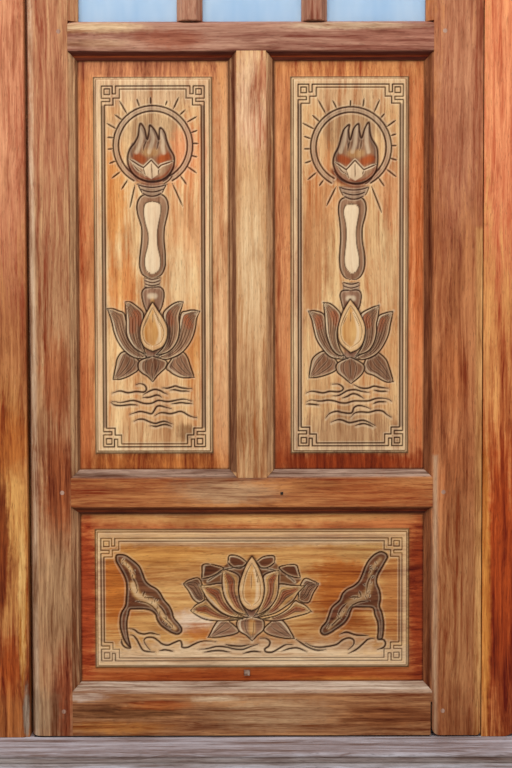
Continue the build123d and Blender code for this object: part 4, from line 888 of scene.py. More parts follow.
def carve_lower(relief, motif):
    """The lower panel: a lotus between two hands, over water."""
    carve_fret(relief, *motif["fret"], 0.45, 0.85)
    for hand in motif["hands"]:
        carve_hand(relief, hand)
    relief.shape(motif["heart"], 1.0, {"maroon": 0.75, "mauve": 0.3}, smooth=False)
    for edges in motif["back"]:
        petal(relief, edges, {"maroon": 0.9, "petal": 0.5}, scoop=1.0, veins=(), rim=0.34, outline=2.4)
    for edges in motif["leaves"]:
        petal(relief, edges, {"petal": 0.6, "mauve": 0.75}, scoop=1.0, veins=(0.3, 0.6))
    relief.wash(motif["foot"], 9.0, "gold", 0.75)
    for line in motif["arcs"]:
        relief.wash(line, 3.4, "pale", 0.6)
        relief.groove(line, width=2.0, cut=1.1, dark=0.8)
    for index, edges in enumerate(motif["petals"]):
        petal(relief, edges, {"petal": 1.0, "maroon": 0.5}, rim=0.38, outline=2.4)
        if index > 1:
            for share, part, width, tint, amount in PETAL_GLOW:
                relief.wash(between(edges, share)[part], width, tint, amount, smooth=False)
    carve_drop(relief, *motif["drop"])
    carve_waves(relief, motif["waves"])


# Upper left panel
LEFT_FLAME = {
    "outline": (
        (177.3, 1025), (181, 1039), (189.4, 1050), (195.9, 1063), (199.6, 1083.6), (207.3, 1074.3),
        (211.6, 1056.4), (215, 1068.6), (216.3, 1080.7), (223.7, 1074.3), (228.7, 1065.7), (232.6, 1056.3),
        (234.4, 1076), (242.3, 1068.6), (245.9, 1055.7), (250.1, 1043), (257.3, 1030), (259.4, 1022),
        (257.7, 1008), (250, 993.5), (236.6, 984.3), (219.4, 981.4), (203.7, 985), (188, 995), (179, 1010)),
    "streaks": (
        [(200.5, 1076), (202, 1062), (199, 1048), (193, 1034)],
        [(218, 1074), (222, 1060), (219, 1046), (215, 1034)],
        [(235.5, 1070), (239.5, 1056), (239, 1044), (241, 1033)]),
    "shades": (
        [(186, 1048), (183, 1036), (185, 1027)], [(202, 1076), (208, 1062), (208, 1050)],
        [(221, 1074), (229, 1058), (230, 1042)], [(238, 1070), (243, 1056), (250, 1040), (253, 1024)],
        [(184, 1018), (190, 1003), (206, 993)]),
    "glow": (
        ([(194, 1026), (203, 1021)], 12.0, "red", 0.85), ([(236, 1021), (246, 1026)], 13.0, "red", 0.9),
        ([(210, 1033), (224, 1034)], 11.0, "gold", 0.4), ([(190, 1020), (196, 1015)], 7.0, "maroon", 0.6)),
    "creases": ([(211.6, 1056), (206, 1044), (204.5, 1034)], [(233, 1058), (231, 1048), (228, 1038)]),
    "petals": (
        (180, 1022), (196, 1012), (205, 1007), (212, 1013), (218.7, 1020), (225, 1013), (231, 1006),
        (236, 1011.4), (256.5, 1018), (250, 1004), (240, 994), (228, 989), (219, 988), (206, 990),
        (196, 997), (186, 1009)),
    "zigzag": (
        (179.4, 1023), (195.9, 1012), (205.1, 1007), (218.7, 1020), (230.9, 1006.4), (235.9, 1011.4),
        (257.3, 1018.6)),
    "lozenge": ((218.7, 1020), (206, 1007), (207, 995), (219, 987), (230, 995), (230.5, 1007)),
    "veins": (
        [(218.9, 1014), (219.6, 1000), (220, 989)], [(205, 1006), (207, 998), (209, 991)],
        [(232, 1005), (231, 996)], [(186, 1014), (194, 1004), (203, 998)]),
    "ring": [(180, 1006), (189, 993), (203, 985.5), (219, 983), (236, 985.5), (249, 994), (257, 1007)],
}
LEFT_HANDLE = {
    "outer": blade((219.3, 961), (219.3, 812.7), [
        (203.3, 958.7), (196, 951.3), (192.9, 940), (194, 926.7), (198, 913.3), (201.3, 900), (201, 880),
        (198.7, 860), (197.3, 846.7), (197.3, 833.3), (203, 819)], [
        (236.7, 960), (245.3, 952), (248.4, 940), (247.3, 926.7), (244, 913.3), (241.3, 900), (240.7, 880),
        (242.3, 860), (242.7, 846.7), (242, 833.3), (235, 819)]),
    "inner": blade((220, 948), (219.3, 819.3), [
        (208.7, 945), (205.3, 936), (205.3, 922.7), (208, 908), (211.6, 894.7), (212.7, 881.3),
        (210.7, 866.7), (207.3, 853.3), (206, 840), (209, 827)], [
        (232.7, 945), (235.3, 937.3), (234.7, 926.7), (231.3, 909.3), (228.9, 894.7), (228.7, 881.3),
        (230, 866.7), (232.9, 853.3), (234.3, 840), (231, 827)]),
    "neck": (204, 235),
    "rings": (812.7, 807, 801.5, 796),
    "knob": (
        ((219, 797), (207, 796), (201.7, 790.7), (200.6, 784), (202.3, 773.3), (206, 761), (212, 750)),
        ((219, 797), (231.7, 798), (238.3, 793.3), (240.3, 785.3), (239, 773.3), (235.4, 761), (229, 750))),
    "heart": (219.5, 778),
}
LEFT_MOTIF = {
    "fret": (131.9, 515.5, 312.0, 1149.0),
    "halo": ((221.8, 1045.2), 69.9, 60.4),
    "rays": (
        ((176.6, 1100.9), (163.7, 1123)), ((198.7, 1113), (193.7, 1127.3)),
        ((218.3, 1117.3), (218.3, 1130.1)), ((244.4, 1115.9), (247.3, 1123.7)),
        ((258, 1109.4), (267.7, 1129.7)), ((269.4, 1098.7), (278.7, 1107.3)),
        ((281.6, 1085.9), (299.1, 1095.9)), ((289.4, 1068), (300.1, 1071.6)),
        ((291.6, 1049.3), (301.6, 1048.6)), ((289.4, 1027.9), (299.7, 1025)),
        ((282.3, 1008.6), (298.7, 997.1)), ((270.1, 992.1), (280.9, 977.1)), ((255.5, 979.5), (274, 938.7)),
        ((190, 977.3), (180.7, 936)), ((177.3, 985.7), (165.9, 968.6)), ((164.4, 1000), (149.4, 988.6)),
        ((155.9, 1018.6), (145.1, 1014.3)), ((150.9, 1040), (142.3, 1039.3)),
        ((152.3, 1059.3), (141.6, 1060)), ((157.3, 1075), (140.9, 1084.3)),
        ((168, 1090.1), (155.1, 1099.4))),
    "flame": LEFT_FLAME,
    "cup": (
        219.8, ((27, 972.5), (21, 964.5), (17, 957)),
        (
            [(195.9, 976), (199, 969), (202.3, 963)], [(245, 977), (241, 970), (238, 963)],
            [(238, 982), (246, 987), (252, 995)], [(241, 979), (250, 985), (256, 993)])),
    "handle": LEFT_HANDLE,
    "leaves": (
        blade((149, 634.7), (178, 684), [
            (154, 658.7), (157, 672), (165, 682.7)], [
            (162.3, 635.3), (175.7, 640), (186.3, 646), (193, 651.3), (198, 664)]),
        blade((293, 638), (262, 684), [
            (271.7, 638), (258.3, 642.7), (249, 649.3), (243.7, 657)], [
            (289, 649.3), (285, 661.3), (281, 673.3), (273.7, 682.7)]),
        blade((219.4, 630), (219.7, 676), [
            (210.3, 640), (199.7, 646.7), (193.7, 654.7), (197, 668)], [
            (226.3, 640), (234.3, 648), (242.3, 656), (243, 668)])),
    "petals": (
        blade((139, 760.7), (210.3, 674), [
            (143.7, 749.3), (147.7, 736), (151, 720), (157, 704), (166.3, 689.3), (175.7, 680),
            (187.7, 673.3), (199.7, 671.3)], [
            (149, 760), (159.7, 756), (169.7, 750.7), (174, 730), (180, 708), (192, 690)]),
        blade((303.7, 755.3), (226.3, 674), [
            (290.3, 757.3), (279.7, 755.3), (270.3, 751.7), (266, 730), (262, 708), (250, 688)], [
            (297.7, 742.7), (295, 725.3), (290.3, 709.3), (282.3, 694.7), (271.7, 682.7), (258.3, 674.7),
            (242.3, 670)]),
        blade((171.4, 772), (207.7, 679.3), [
            (172.3, 760), (173, 740), (173, 720), (175.7, 708), (183.7, 694.7), (194.3, 685.3)], [
            (180.3, 771.7), (191.7, 764), (203, 752.7), (203, 735), (200, 712), (203, 692)]),
        blade((274.3, 772), (224.7, 678), [
            (264, 771.5), (251.7, 765.3), (239, 752.7), (240, 735), (243, 712), (238, 692)], [
            (271, 761.3), (266.3, 746.7), (267, 726.7), (265, 709.3), (258.3, 694.7), (247.7, 684),
            (234.3, 679)])),
    "blush": (
        [(190, 752), (196, 736)], [(247, 752), (252, 736)], [(277, 744), (284, 730)],
        [(184, 740), (184, 722)]),
    "drop": (
        blade((219.7, 770), (219.7, 685), [
            (210.3, 753.3), (201.7, 736), (198.1, 720), (199.7, 704), (206, 692)], [
            (230.3, 753.3), (239.7, 738.7), (245, 724), (243.7, 706.7), (236, 692.7)]),
        blade((219.7, 762), (219.7, 693.3), [
            (211.7, 746.7), (203.7, 728), (202.3, 714.7), (207, 700.3)], [
            (227.7, 746.7), (237.7, 725.3), (239, 713.3), (233, 700)]),
        (
            [(219.7, 752), (220, 744), (220.3, 734)], [(224.3, 751), (229, 740), (234.3, 727)],
            [(214.3, 748), (209, 738), (205, 729)])),
    "waves": (
        (
            (148, 610.7), (160.9, 614.6), (175, 611.4), (190, 613.4), (203.7, 612.6), (208, 618),
            (204.4, 625), (196.6, 627.4), (190, 625.7)),
        ((203, 608), (209.4, 612), (218, 616), (224.4, 617), (232.3, 615), (238.7, 611.4), (245, 609)),
        ((201.6, 603), (211, 603), (218, 604.6), (225, 607), (231, 606), (235, 603)),
        (
            (236.6, 620), (245, 619.3), (253.7, 621.4), (259.4, 623), (268, 620.3), (279.4, 618.6),
            (288, 618.3)),
        ((250, 615.7), (258, 616.4), (269.4, 614.3), (283.7, 614)),
        (
            (146, 595), (152.3, 595.7), (162.3, 594), (181, 597.4), (191, 596.4), (201, 593), (209.4, 592),
            (218, 593), (226.6, 597), (233.7, 597.4), (242.3, 595.7), (251, 596), (271, 599.7), (281, 598.6),
            (288.7, 596)),
        ((145, 594.3), (151, 590), (161, 588.6), (171, 589.3), (181, 590.3), (192.3, 589.7)),
        ((252.3, 591.4), (261, 592.6), (269.4, 593.6), (278, 592.6), (288.7, 592)),
        (
            (178.7, 573), (186.6, 575.7), (196.6, 578), (206.6, 576.4), (216.6, 574), (221, 578.6),
            (226, 586.4), (232.3, 588), (242.3, 585.4), (251.6, 583)),
        (
            (223, 570.7), (231, 575.4), (239.4, 575.7), (249.4, 574), (258, 575.7), (266.6, 578),
            (273.7, 576.4), (281, 571.7), (289.4, 568.3), (296.6, 567.4)),
        (
            (186, 561), (193.7, 564.3), (202.3, 564.3), (209.4, 561.4), (218, 558), (225, 557),
            (232.3, 559.3), (241, 560.3), (253.7, 555.7)),
        ((215, 553), (225, 551.7), (233.7, 554), (242.3, 555), (252.3, 551.7))),
}

# Upper right panel
RIGHT_FLAME = {
    "outline": (
        (538, 1017), (541, 1030), (547, 1041), (553.5, 1063.4), (558, 1074), (566.5, 1081), (565, 1069),
        (568, 1055), (574, 1073.7), (582.7, 1082.6), (584.2, 1069.5), (588, 1058), (594, 1075),
        (600.8, 1085), (602.7, 1068), (605.8, 1057), (614.2, 1043), (616.2, 1032.6), (616.2, 1014),
        (611, 995), (593.5, 980.5), (576.5, 977.5), (559.6, 983), (547.3, 992.6), (540.4, 1005)),
    "streaks": (
        [(561, 1076), (559.5, 1062), (556, 1048), (551, 1034)],
        [(579, 1078), (577.5, 1062), (576, 1046), (572, 1034)],
        [(597.5, 1078), (596.5, 1062), (597, 1048), (600, 1034)]),
    "shades": (
        [(546, 1040), (543, 1028), (545, 1018)], [(564, 1072), (563, 1056), (564, 1046)],
        [(583, 1070), (583, 1052), (581, 1040)], [(600, 1076), (603, 1056), (611, 1040), (612, 1024)],
        [(544, 1010), (550, 999), (563, 990)]),
    "glow": (
        ([(552, 1022), (562, 1018)], 12.0, "red", 0.85), ([(592, 1017), (604, 1022)], 12.0, "red", 0.85),
        ([(570, 1030), (586, 1031)], 11.0, "gold", 0.4), ([(606, 1014), (610, 1022)], 7.0, "maroon", 0.6)),
    "creases": ([(568, 1055), (565, 1044), (563.5, 1034)], [(588, 1057), (587, 1046), (585, 1036)]),
    "petals": (
        (540.5, 1015), (552, 1009), (561.2, 1002.6), (569, 1010), (576.5, 1018.8), (584, 1010),
        (591.9, 1002.6), (602, 1008), (614, 1012), (608, 999), (598, 990), (586, 985), (576, 983.5),
        (562, 987), (552, 993), (544, 1003)),
    "zigzag": ((541, 1016.5), (561.2, 1002.6), (576.5, 1018.8), (591.9, 1002.6), (615, 1012.5)),
    "lozenge": ((576.5, 1018.8), (562, 1003), (565, 991), (577, 983.5), (589, 991), (591.5, 1003)),
    "veins": (
        [(576.5, 1012), (576.8, 998), (577, 985)], [(561.5, 1001), (564, 994), (566, 987)],
        [(591.5, 1001), (589, 993)], [(546, 1010), (554, 1000), (562, 995)]),
    "ring": [(540, 1000), (549, 987.5), (562, 980.5), (577, 978.5), (593, 981), (606, 989.5), (615, 1002)],
}
RIGHT_HANDLE = {
    "outer": blade((572, 955), (570, 809.6), [
        (557, 953.6), (550, 948), (547.6, 937), (547.8, 926.5), (550.4, 904.8), (551.5, 883), (550, 861.3),
        (549.3, 843.9), (551.5, 826.5), (559.1, 813.5)], [
        (588, 953.5), (594.5, 946), (596.3, 934), (594.3, 920), (589.6, 900.4), (590, 876.5), (593.5, 854.8),
        (593.9, 835.2), (589.6, 820), (581, 811.2)]),
    "inner": blade((570, 943), (570, 820), [
        (559.5, 939.6), (556.5, 926.5), (560.2, 907), (561.3, 887.4), (559.6, 865.7), (558, 846),
        (560.2, 831)], [
        (582, 939.6), (584, 928.7), (581, 911.3), (578.7, 894), (579.8, 872), (583.5, 852.6), (584, 835),
        (578.7, 824.3)]),
    "neck": (554, 586),
    "rings": (803.5, 797, 790),
    "knob": (
        ((569, 791), (558, 791.5), (552.5, 789), (550.2, 782), (552.6, 770), (556, 759), (561, 750)),
        ((569, 791), (580, 792), (586, 789), (588, 781), (586.3, 768), (582.5, 757), (577, 750))),
    "heart": (569, 773),
}
RIGHT_MOTIF = {
    "fret": (476.5, 516.5, 661.0, 1151.5),
    "halo": ((569.5, 1041.3), 71.0, 61.5),
    "rays": (
        ((525, 1100.3), (511.9, 1124.2)), ((544.2, 1109.5), (537.3, 1123.4)),
        ((568.4, 1113.4), (568.4, 1124.2)), ((590.4, 1111.8), (592.4, 1126.5)),
        ((610.4, 1103.4), (619.6, 1124.2)), ((621.9, 1092.6), (628.1, 1100.3)),
        ((631.9, 1077.2), (648.1, 1088.8)), ((639.6, 1061.8), (648.8, 1064.9)),
        ((640.4, 1044.5), (649.6, 1044.5)), ((638.1, 1022.6), (650.4, 1018.8)),
        ((631.9, 1003.4), (649.6, 989.5)), ((618.1, 988), (628.1, 973.4)), ((605, 974.9), (623.9, 926.5)),
        ((543.5, 973.4), (526.1, 938.5)), ((521.2, 984.9), (513.5, 974.2)), ((508.8, 998), (493.2, 984.9)),
        ((499.6, 1018), (488.1, 1014.2)), ((497.8, 1039), (486.5, 1039)), ((498.8, 1056.9), (486.5, 1061.1)),
        ((505, 1073.4), (484.2, 1084.2)), ((514.2, 1086.5), (501.2, 1098))),
    "flame": RIGHT_FLAME,
    "cup": (
        574.5, ((27, 967), (21, 958.5), (17, 951)),
        (
            [(549, 972), (552, 964), (556, 957)], [(601, 972), (598, 964), (594, 957)],
            [(593, 977), (601, 982), (608, 990)])),
    "handle": RIGHT_HANDLE,
    "leaves": (
        blade((495, 636.3), (530, 684), [
            (498.3, 657), (502.6, 672), (516.7, 683)], [
            (517.8, 639.6), (541.7, 649.3), (547, 662)]),
        blade((645, 629.2), (604, 684), [
            (630.4, 630), (610.4, 640.8), (596.5, 646.2), (592, 660)], [
            (637.4, 654.8), (631, 670), (615.7, 683)]),
        blade((569.9, 626.2), (569, 674), [
            (557, 637.4), (545, 648.3), (546, 663)], [
            (589.6, 644), (592, 660)])),
    "petals": (
        blade((493.5, 755.9), (564, 671), [
            (500.4, 739.6), (503.7, 724.3), (509, 704.8), (520, 687.4), (533, 674.3), (550.4, 670)], [
            (509, 754.8), (522.2, 748.3), (526, 730), (531, 708), (542, 690)]),
        blade((644.3, 754.8), (574, 671), [
            (631, 751.5), (617.8, 745), (612, 725), (608, 704), (598, 686)], [
            (639.6, 733), (635.2, 711.3), (624.3, 689.6), (611.3, 676.5), (591.7, 669)]),
        blade((520.4, 770.4), (558, 675.5), [
            (523.3, 752.6), (524.3, 731), (527, 711.3), (535.2, 689.6), (546, 678)], [
            (535.2, 766.7), (551.4, 749.4), (548, 730), (545, 712), (549, 692)]),
        blade((620, 765.7), (578, 676), [
            (604.8, 760), (586.4, 748.3), (592, 728), (593, 708), (588, 690)], [
            (617.8, 746), (614.6, 731), (614.6, 715.7), (609, 696), (598.3, 683)])),
    "blush": (
        [(539, 750), (545, 734)], [(596, 746), (600, 730)], [(512, 742), (514, 728)],
        [(624, 738), (620, 724)]),
    "drop": (
        blade((568.3, 774.3), (568.9, 682), [
            (557, 754.8), (549.3, 733), (547.2, 715.7), (551.5, 698.3)], [
            (581, 757), (591.7, 735), (594.3, 720), (590.7, 700.4), (582, 688.4)]),
        blade((568.6, 765), (569, 690), [
            (559.5, 748), (552.8, 731), (551.5, 716), (556, 701)], [
            (577.5, 752), (586.5, 733), (589.3, 718), (585, 702)]),
        (
            [(568.8, 754), (569, 745), (569.2, 736)], [(573.5, 751), (579, 741), (584, 729)],
            [(563.5, 748), (559, 739), (555.5, 730)])),
    "waves": (
        (
            (490.4, 610.3), (501.2, 613.4), (519.6, 610.3), (532, 613), (547.3, 612.3), (555, 615.4),
            (555, 620.8), (547.3, 625.7), (536.5, 626.2)),
        ((536.5, 604.6), (548.8, 606), (562.7, 613.8), (576.5, 615.8), (588.8, 613), (602.7, 610.8)),
        ((554.2, 601), (562.7, 603.8), (572, 608.5), (579.6, 607.7), (587.3, 603.8), (592, 600.5)),
        ((575, 624.6), (587.3, 619), (599.6, 618.5), (610.4, 622), (621.2, 620), (636.5, 618)),
        ((610.4, 615), (621.2, 613), (633.5, 613)),
        (
            (491.2, 594.6), (499.6, 597.7), (515, 595.8), (528.8, 597.4), (539.6, 596.2), (550.4, 593),
            (561.2, 592.3), (575, 595.8), (588.8, 595.8), (601.2, 596.2), (613.5, 600), (624.2, 600.8),
            (635, 599.2), (641.2, 595.8)),
        ((490.4, 590.8), (501.2, 590.3), (513.5, 588.8)), ((608.8, 591), (618, 594.3), (632, 594.3)),
        (
            (525, 566), (532, 573.8), (544.2, 577.7), (555, 575.4), (570.4, 574.6), (575, 583.8),
            (582.7, 587.7), (593.5, 586.2), (604.2, 582.3)),
        (
            (569.6, 567.7), (576.5, 574.6), (587.3, 576.5), (601.2, 575.8), (615, 579), (625.8, 577.7),
            (633.5, 571.5), (641.2, 567)),
        (
            (534.2, 558.5), (544.2, 562.3), (553.5, 562.3), (565.8, 557.7), (576.5, 559), (587.3, 561.5),
            (596.5, 560.3), (612.7, 552.3)),
        ((578, 553), (592, 555.8), (602.7, 553), (608.8, 550))),
}

# Lower panel: a lotus between two hands, over water
LEFT_HAND = {
    "outline": (
        (152.2, 320.7), (156.6, 323.6), (168.6, 322.4), (179, 315.5), (187.6, 308.6), (194.5, 301),
        (199.7, 288.8), (204.8, 276), (213.4, 268), (223.8, 262), (230.7, 254.3), (237.6, 242), (246.2, 232),
        (251.4, 221.6), (254.8, 209.5), (263.4, 199), (268.6, 190.5), (267, 183.6), (260, 180.2),
        (249.7, 183.6), (239.3, 190.5), (230.7, 197.4), (224.7, 207), (222, 216.4), (213.4, 223.3),
        (199.7, 226), (184, 226), (176.4, 225), (173.8, 216.4), (171.2, 204.3), (171.2, 188.8),
        (173.8, 171.6), (177.2, 156), (167, 168), (161.7, 182), (159, 194), (159, 208), (161.7, 220),
        (168.6, 232), (170.3, 245.7), (171.2, 261), (170.3, 275), (165.2, 288.8), (158.3, 301), (153, 311)),
    "creases": (
        [(203, 257.6), (200.5, 252), (199.7, 247.4)], [(201.4, 245.7), (210, 246.5), (220.3, 245.7)],
        [(186, 240.5), (206.6, 237), (220.3, 226.7), (229, 213)], [(236, 212), (246, 202.6), (253, 194)],
        [(180, 286), (187, 272), (190, 258)], [(225, 236), (234, 226), (241, 214)]),
    "palm": [(182, 270), (190, 252), (206, 243), (222, 234)],
    "fingers": [(228, 224), (240, 208), (256, 191)],
    "arm": [(164, 312), (177, 299), (183, 284)],
    "thumb": [(176, 162), (167, 186), (166, 206), (172, 222)],
    "bare": 0.72,
}
RIGHT_HAND = {
    "outline": (
        (634.8, 319.8), (631.4, 325), (622.8, 327.6), (612.4, 323.3), (602, 313), (595.2, 301), (590, 287),
        (584, 275), (574.5, 266.4), (562.4, 260.3), (554.7, 252.6), (549.5, 240.5), (536.6, 228.4),
        (531.4, 216.4), (526.2, 202.6), (517.6, 192.2), (516, 183.6), (522.8, 178.4), (533, 182),
        (543.4, 188.8), (557.2, 199), (566, 211.2), (569.3, 221.6), (574.5, 228.4), (590, 228.4),
        (609, 226.7), (612.4, 214.7), (617.6, 201), (618.4, 185.3), (617.6, 171.6), (625.3, 171.6),
        (628, 187), (628, 202.6), (625.3, 218), (621, 230.2), (622.8, 244), (621, 257.8), (616, 271.6),
        (617.6, 285.3), (626.2, 301), (634.8, 316.4)),
    "creases": (
        [(584, 258), (587, 252), (588, 247)], [(568, 246), (578, 247), (587, 245.5)],
        [(604, 240), (585, 238), (570, 229), (561, 214)], [(553, 212), (543, 203), (535, 194)],
        [(606, 286), (600, 272), (598, 258)], [(563, 236), (553, 226), (547, 214)]),
    "palm": [(604, 268), (597, 252), (582, 244), (566, 235)],
    "fingers": [(560, 224), (547, 208), (531, 191)],
    "arm": [(622, 314), (610, 300), (603, 284)],
    "thumb": [(622, 176), (623, 196), (620, 212), (616, 226)],
    "bare": 0.34,
}
LOWER_MOTIF = {
    "fret": (125.5, 132.8, 660.7, 352.6),
    "hands": (LEFT_HAND, RIGHT_HAND),
    "heart": (
        (303, 276), (306, 304), (320, 306), (342, 300), (352, 309), (354, 320), (367, 320), (385, 309),
        (401, 310), (420, 319.5), (433, 319.5), (435, 309), (443, 300), (456, 304), (472, 303), (482, 278),
        (470, 268), (441, 250), (344, 250), (316, 268)),
    "back": (
        blade((304.7, 279.8), (320.2, 306.6), [
            (305.4, 292), (306.4, 304.8)], [
            (322, 284), (336, 292), (342.6, 299.7)]),
        blade((480.5, 280.7), (456.4, 304.8), [
            (477, 292), (472.8, 304)], [
            (463, 284), (449, 292), (442.6, 300.5)]),
        blade((351.2, 309), (385.7, 308.3), [
            (353.8, 321.2), (366.7, 321.2), (377, 316)], [
            (360, 301), (374, 299)]),
        blade((434.8, 309), (401.2, 310), [
            (433, 320.3), (420, 320.5), (411.6, 317.8)], [
            (424, 301), (411, 299)])),
    "leaves": (
        blade((315, 174.7), (352, 205), [
            (320.2, 183), (325.3, 193.6), (335, 206)], [
            (330.5, 174.7), (347.8, 177.2), (363.3, 180.7), (370, 188)]),
        blade((470, 172), (430, 205), [
            (463.3, 183.3), (456.4, 195.3), (446, 206)], [
            (451.2, 173), (434, 176.4), (420.2, 181.6), (415, 190)]),
        blade((394, 167.8), (393, 212), [
            (384, 178), (372, 185), (366.7, 195.3), (370, 207)], [
            (403, 178), (413.3, 186.7), (416, 197), (412, 207)])),
    "foot": [(393.6, 202), (393.8, 184)],
    "arcs": (
        [(315, 275.5), (328.8, 285), (342.6, 293.6)], [(342.6, 296), (366.7, 300.5), (384, 302.2)],
        [(401, 301.4), (420.2, 298), (441, 292.8)], [(456.4, 285), (464, 280), (470.2, 273.8)]),
    "petals": (
        blade((271, 271.2), (310, 242), [
            (280.5, 259), (289, 243.6), (299.5, 236.7)], [
            (282.2, 278), (299.5, 280.7), (307, 262)]),
        blade((513.3, 270.3), (476, 242), [
            (503, 275.5), (487.4, 279.8), (478, 262)], [
            (503, 254), (496, 238.4), (486, 236.5)]),
        blade((284, 223), (378, 207), [
            (296, 214.3), (309.8, 207.4), (327, 204.8), (351.2, 204.8)], [
            (294.3, 233.3), (304.7, 238.4), (313, 242), (326, 228), (345, 215)]),
        blade((500.3, 220.3), (408, 207), [
            (489, 231.6), (477, 237.6), (470, 240), (458, 226), (438, 214)], [
            (487.4, 216), (468.4, 211), (451.2, 206.6), (430.5, 204)]),
        blade((300.3, 267.8), (385, 210), [
            (306.4, 257.4), (315, 242), (328.8, 228), (342.6, 217.8), (361.6, 211)], [
            (316.7, 268.6), (341, 270.5), (344, 250), (352, 233), (366, 219)]),
        blade((489, 267), (400, 210), [
            (463.3, 267.8), (441.6, 269.6), (438, 250), (430, 233), (418, 220)], [
            (477, 255.7), (466.7, 240.2), (451.2, 228), (434, 217.8), (415, 212.6)]),
        blade((341.7, 296.2), (388, 213.5), [
            (341, 283.3), (341, 266), (344.3, 248.8), (353, 233.3), (365, 221.2)], [
            (354.7, 293.6), (371, 284), (370, 262), (373, 240), (381, 224)]),
        blade((442.6, 294.5), (398, 213.5), [
            (428.8, 292), (414, 284), (416, 262), (412, 240), (405, 224)], [
            (441, 278), (441.2, 262.6), (437.4, 245.3), (427, 229.8), (413.3, 219.5)])),
    "drop": (
        blade((394, 318.6), (393.4, 223.5), [
            (385.7, 306.6), (378.8, 290.2), (372.8, 271.2), (371.6, 254), (375.3, 238.4), (384, 227.2)], [
            (401.2, 307.4), (409.8, 288.4), (414, 271.2), (414.7, 255.7), (410.7, 238.4), (403, 228)]),
        blade((393.6, 308), (393.4, 231), [
            (386, 294), (380, 274), (377.6, 256), (381, 241)], [
            (401.5, 294), (408, 274), (409, 256), (405.5, 241)]),
        (
            [(392.2, 292), (392.6, 276), (392.4, 260)], [(385, 293.6), (382, 285), (380.5, 276.4)],
            [(399.5, 298.8), (402, 286), (403, 274.7)], [(402, 293), (404, 282), (404.7, 271)])),
    "waves": (
        ((174.7, 191.4), (184, 188.8), (191, 183.6), (201.4, 181), (213.4, 182.8), (229, 179.3)),
        ((161.7, 172.4), (161.7, 164.7), (167, 157.8), (175.5, 155.2)),
        ((174.7, 179.3), (182.4, 178.4), (189.3, 169.8), (194.5, 159.5), (201.4, 151), (220.3, 148.3)),
        (
            (211.7, 152.6), (204.8, 161.2), (201.4, 169.8), (206.6, 175), (217, 175), (225.5, 169.8),
            (234, 163), (244.5, 161.2), (254.8, 165.5), (265.2, 169), (268.6, 163), (269.5, 157), (279, 157),
            (289.3, 162), (299.6, 166.5), (311.6, 168.6), (328.8, 167)),
        ((229, 151), (239.3, 152.6), (253, 150)),
        (
            (298.6, 153), (315, 154.8), (330.5, 158.3), (347.8, 157.4), (361.6, 154), (377, 153),
            (389, 157.4), (404.7, 162.6)),
        ((308, 148), (323.6, 150.5), (337.4, 151), (354.7, 148)),
        ((347, 161.7), (359.8, 159.5), (375.3, 159), (387.4, 161.2)),
        ((378.8, 146.2), (396, 149.7), (409.8, 148)),
        (
            (408, 173.8), (418.4, 173), (425.3, 167), (423.6, 159), (416.7, 154), (418.4, 148.8),
            (428.8, 148), (441, 154), (453, 161), (465, 161.7)),
        ((472, 171.2), (484, 162.6), (496, 155.7), (509.8, 151.4), (525, 152.2)),
        (
            (489, 164.3), (499.5, 159), (511.6, 156.6), (523.6, 157.4), (543.4, 161.2), (555.5, 169.8),
            (566, 173.3), (574.5, 169.8), (574.5, 161.2), (566, 152.6)),
        ((447.8, 150.5), (463.3, 154.8), (477, 154.8), (491, 148.8)),
        ((566, 145.7), (579.7, 152.6), (591.7, 163), (600.3, 170.7), (610.7, 172.4)),
        ((550.3, 180.2), (562.4, 183.6), (579.7, 178.4), (600.3, 177.6)),
        ((617.6, 170.7), (628, 169.8), (631.4, 163), (628, 156), (617.6, 152.6))),
}


UPPER_SPACING = 1.22
LOWER_SPACING = 1.3
# An upper panel holds only its handle between these heights, so its rows lie wider apart there
PLAIN_FOOT = 820
PLAIN_TOP = 945
PLAIN_SPACING = 2.4
FIELD_START = 2
PANEL_SHEETS = (
    ("upper_left_panel", (74, 460.5, 368.5, 1209), 42.5, carve_upper, LEFT_MOTIF),
    ("upper_right_panel", (420.5, 460.5, 714, 1209), 42.5, carve_upper, RIGHT_MOTIF),
    ("lower_panel", (74, 79.5, 714, 409), 40.0, carve_lower, LOWER_MOTIF),
)
panels = {}
for panel_name, opening, field_inset, carve, motif in PANEL_SHEETS:
    left, foot, right, top = opening
    inset = field_inset + STEP_WIDTH + FIELD_START
    if carve is carve_lower:
        fine = LOWER_SPACING
        rows = spaced(foot + inset, top - inset, fine)
    else:
        fine = UPPER_SPACING
        rows = spaced(foot + inset, PLAIN_FOOT, fine) + spaced(PLAIN_FOOT, PLAIN_TOP, PLAIN_SPACING)
        rows += spaced(PLAIN_TOP, top - inset, fine)
    columns = spaced(left + inset, right - inset, fine)
    panels[panel_name] = make_panel(panel_name, opening, field_inset, columns, rows, carve, motif)


# Materials

# The line shade is painted shade and dirt in the cuts and corners; the pale shade is wear and painted
# highlight on lips and rims
LINE_SHADE = "281208"
PALE_SHADE = "ecd2ae"
MASK_SHADES = (
    ("petal", "4f240f", "a06e48"),
    ("mauve", "5e3a2a", "a87f66"),
    ("maroon", "2e0f06", "6e3620"),
    ("gold", "b87838", "e6b878"),
    ("red", "702206", "b4531c"),
)
CARVED_CONTRAST = 0.74
LEAST_PALE_SHARE = 0.6
SHADE_AND_DIRT_STRENGTH = 0.95


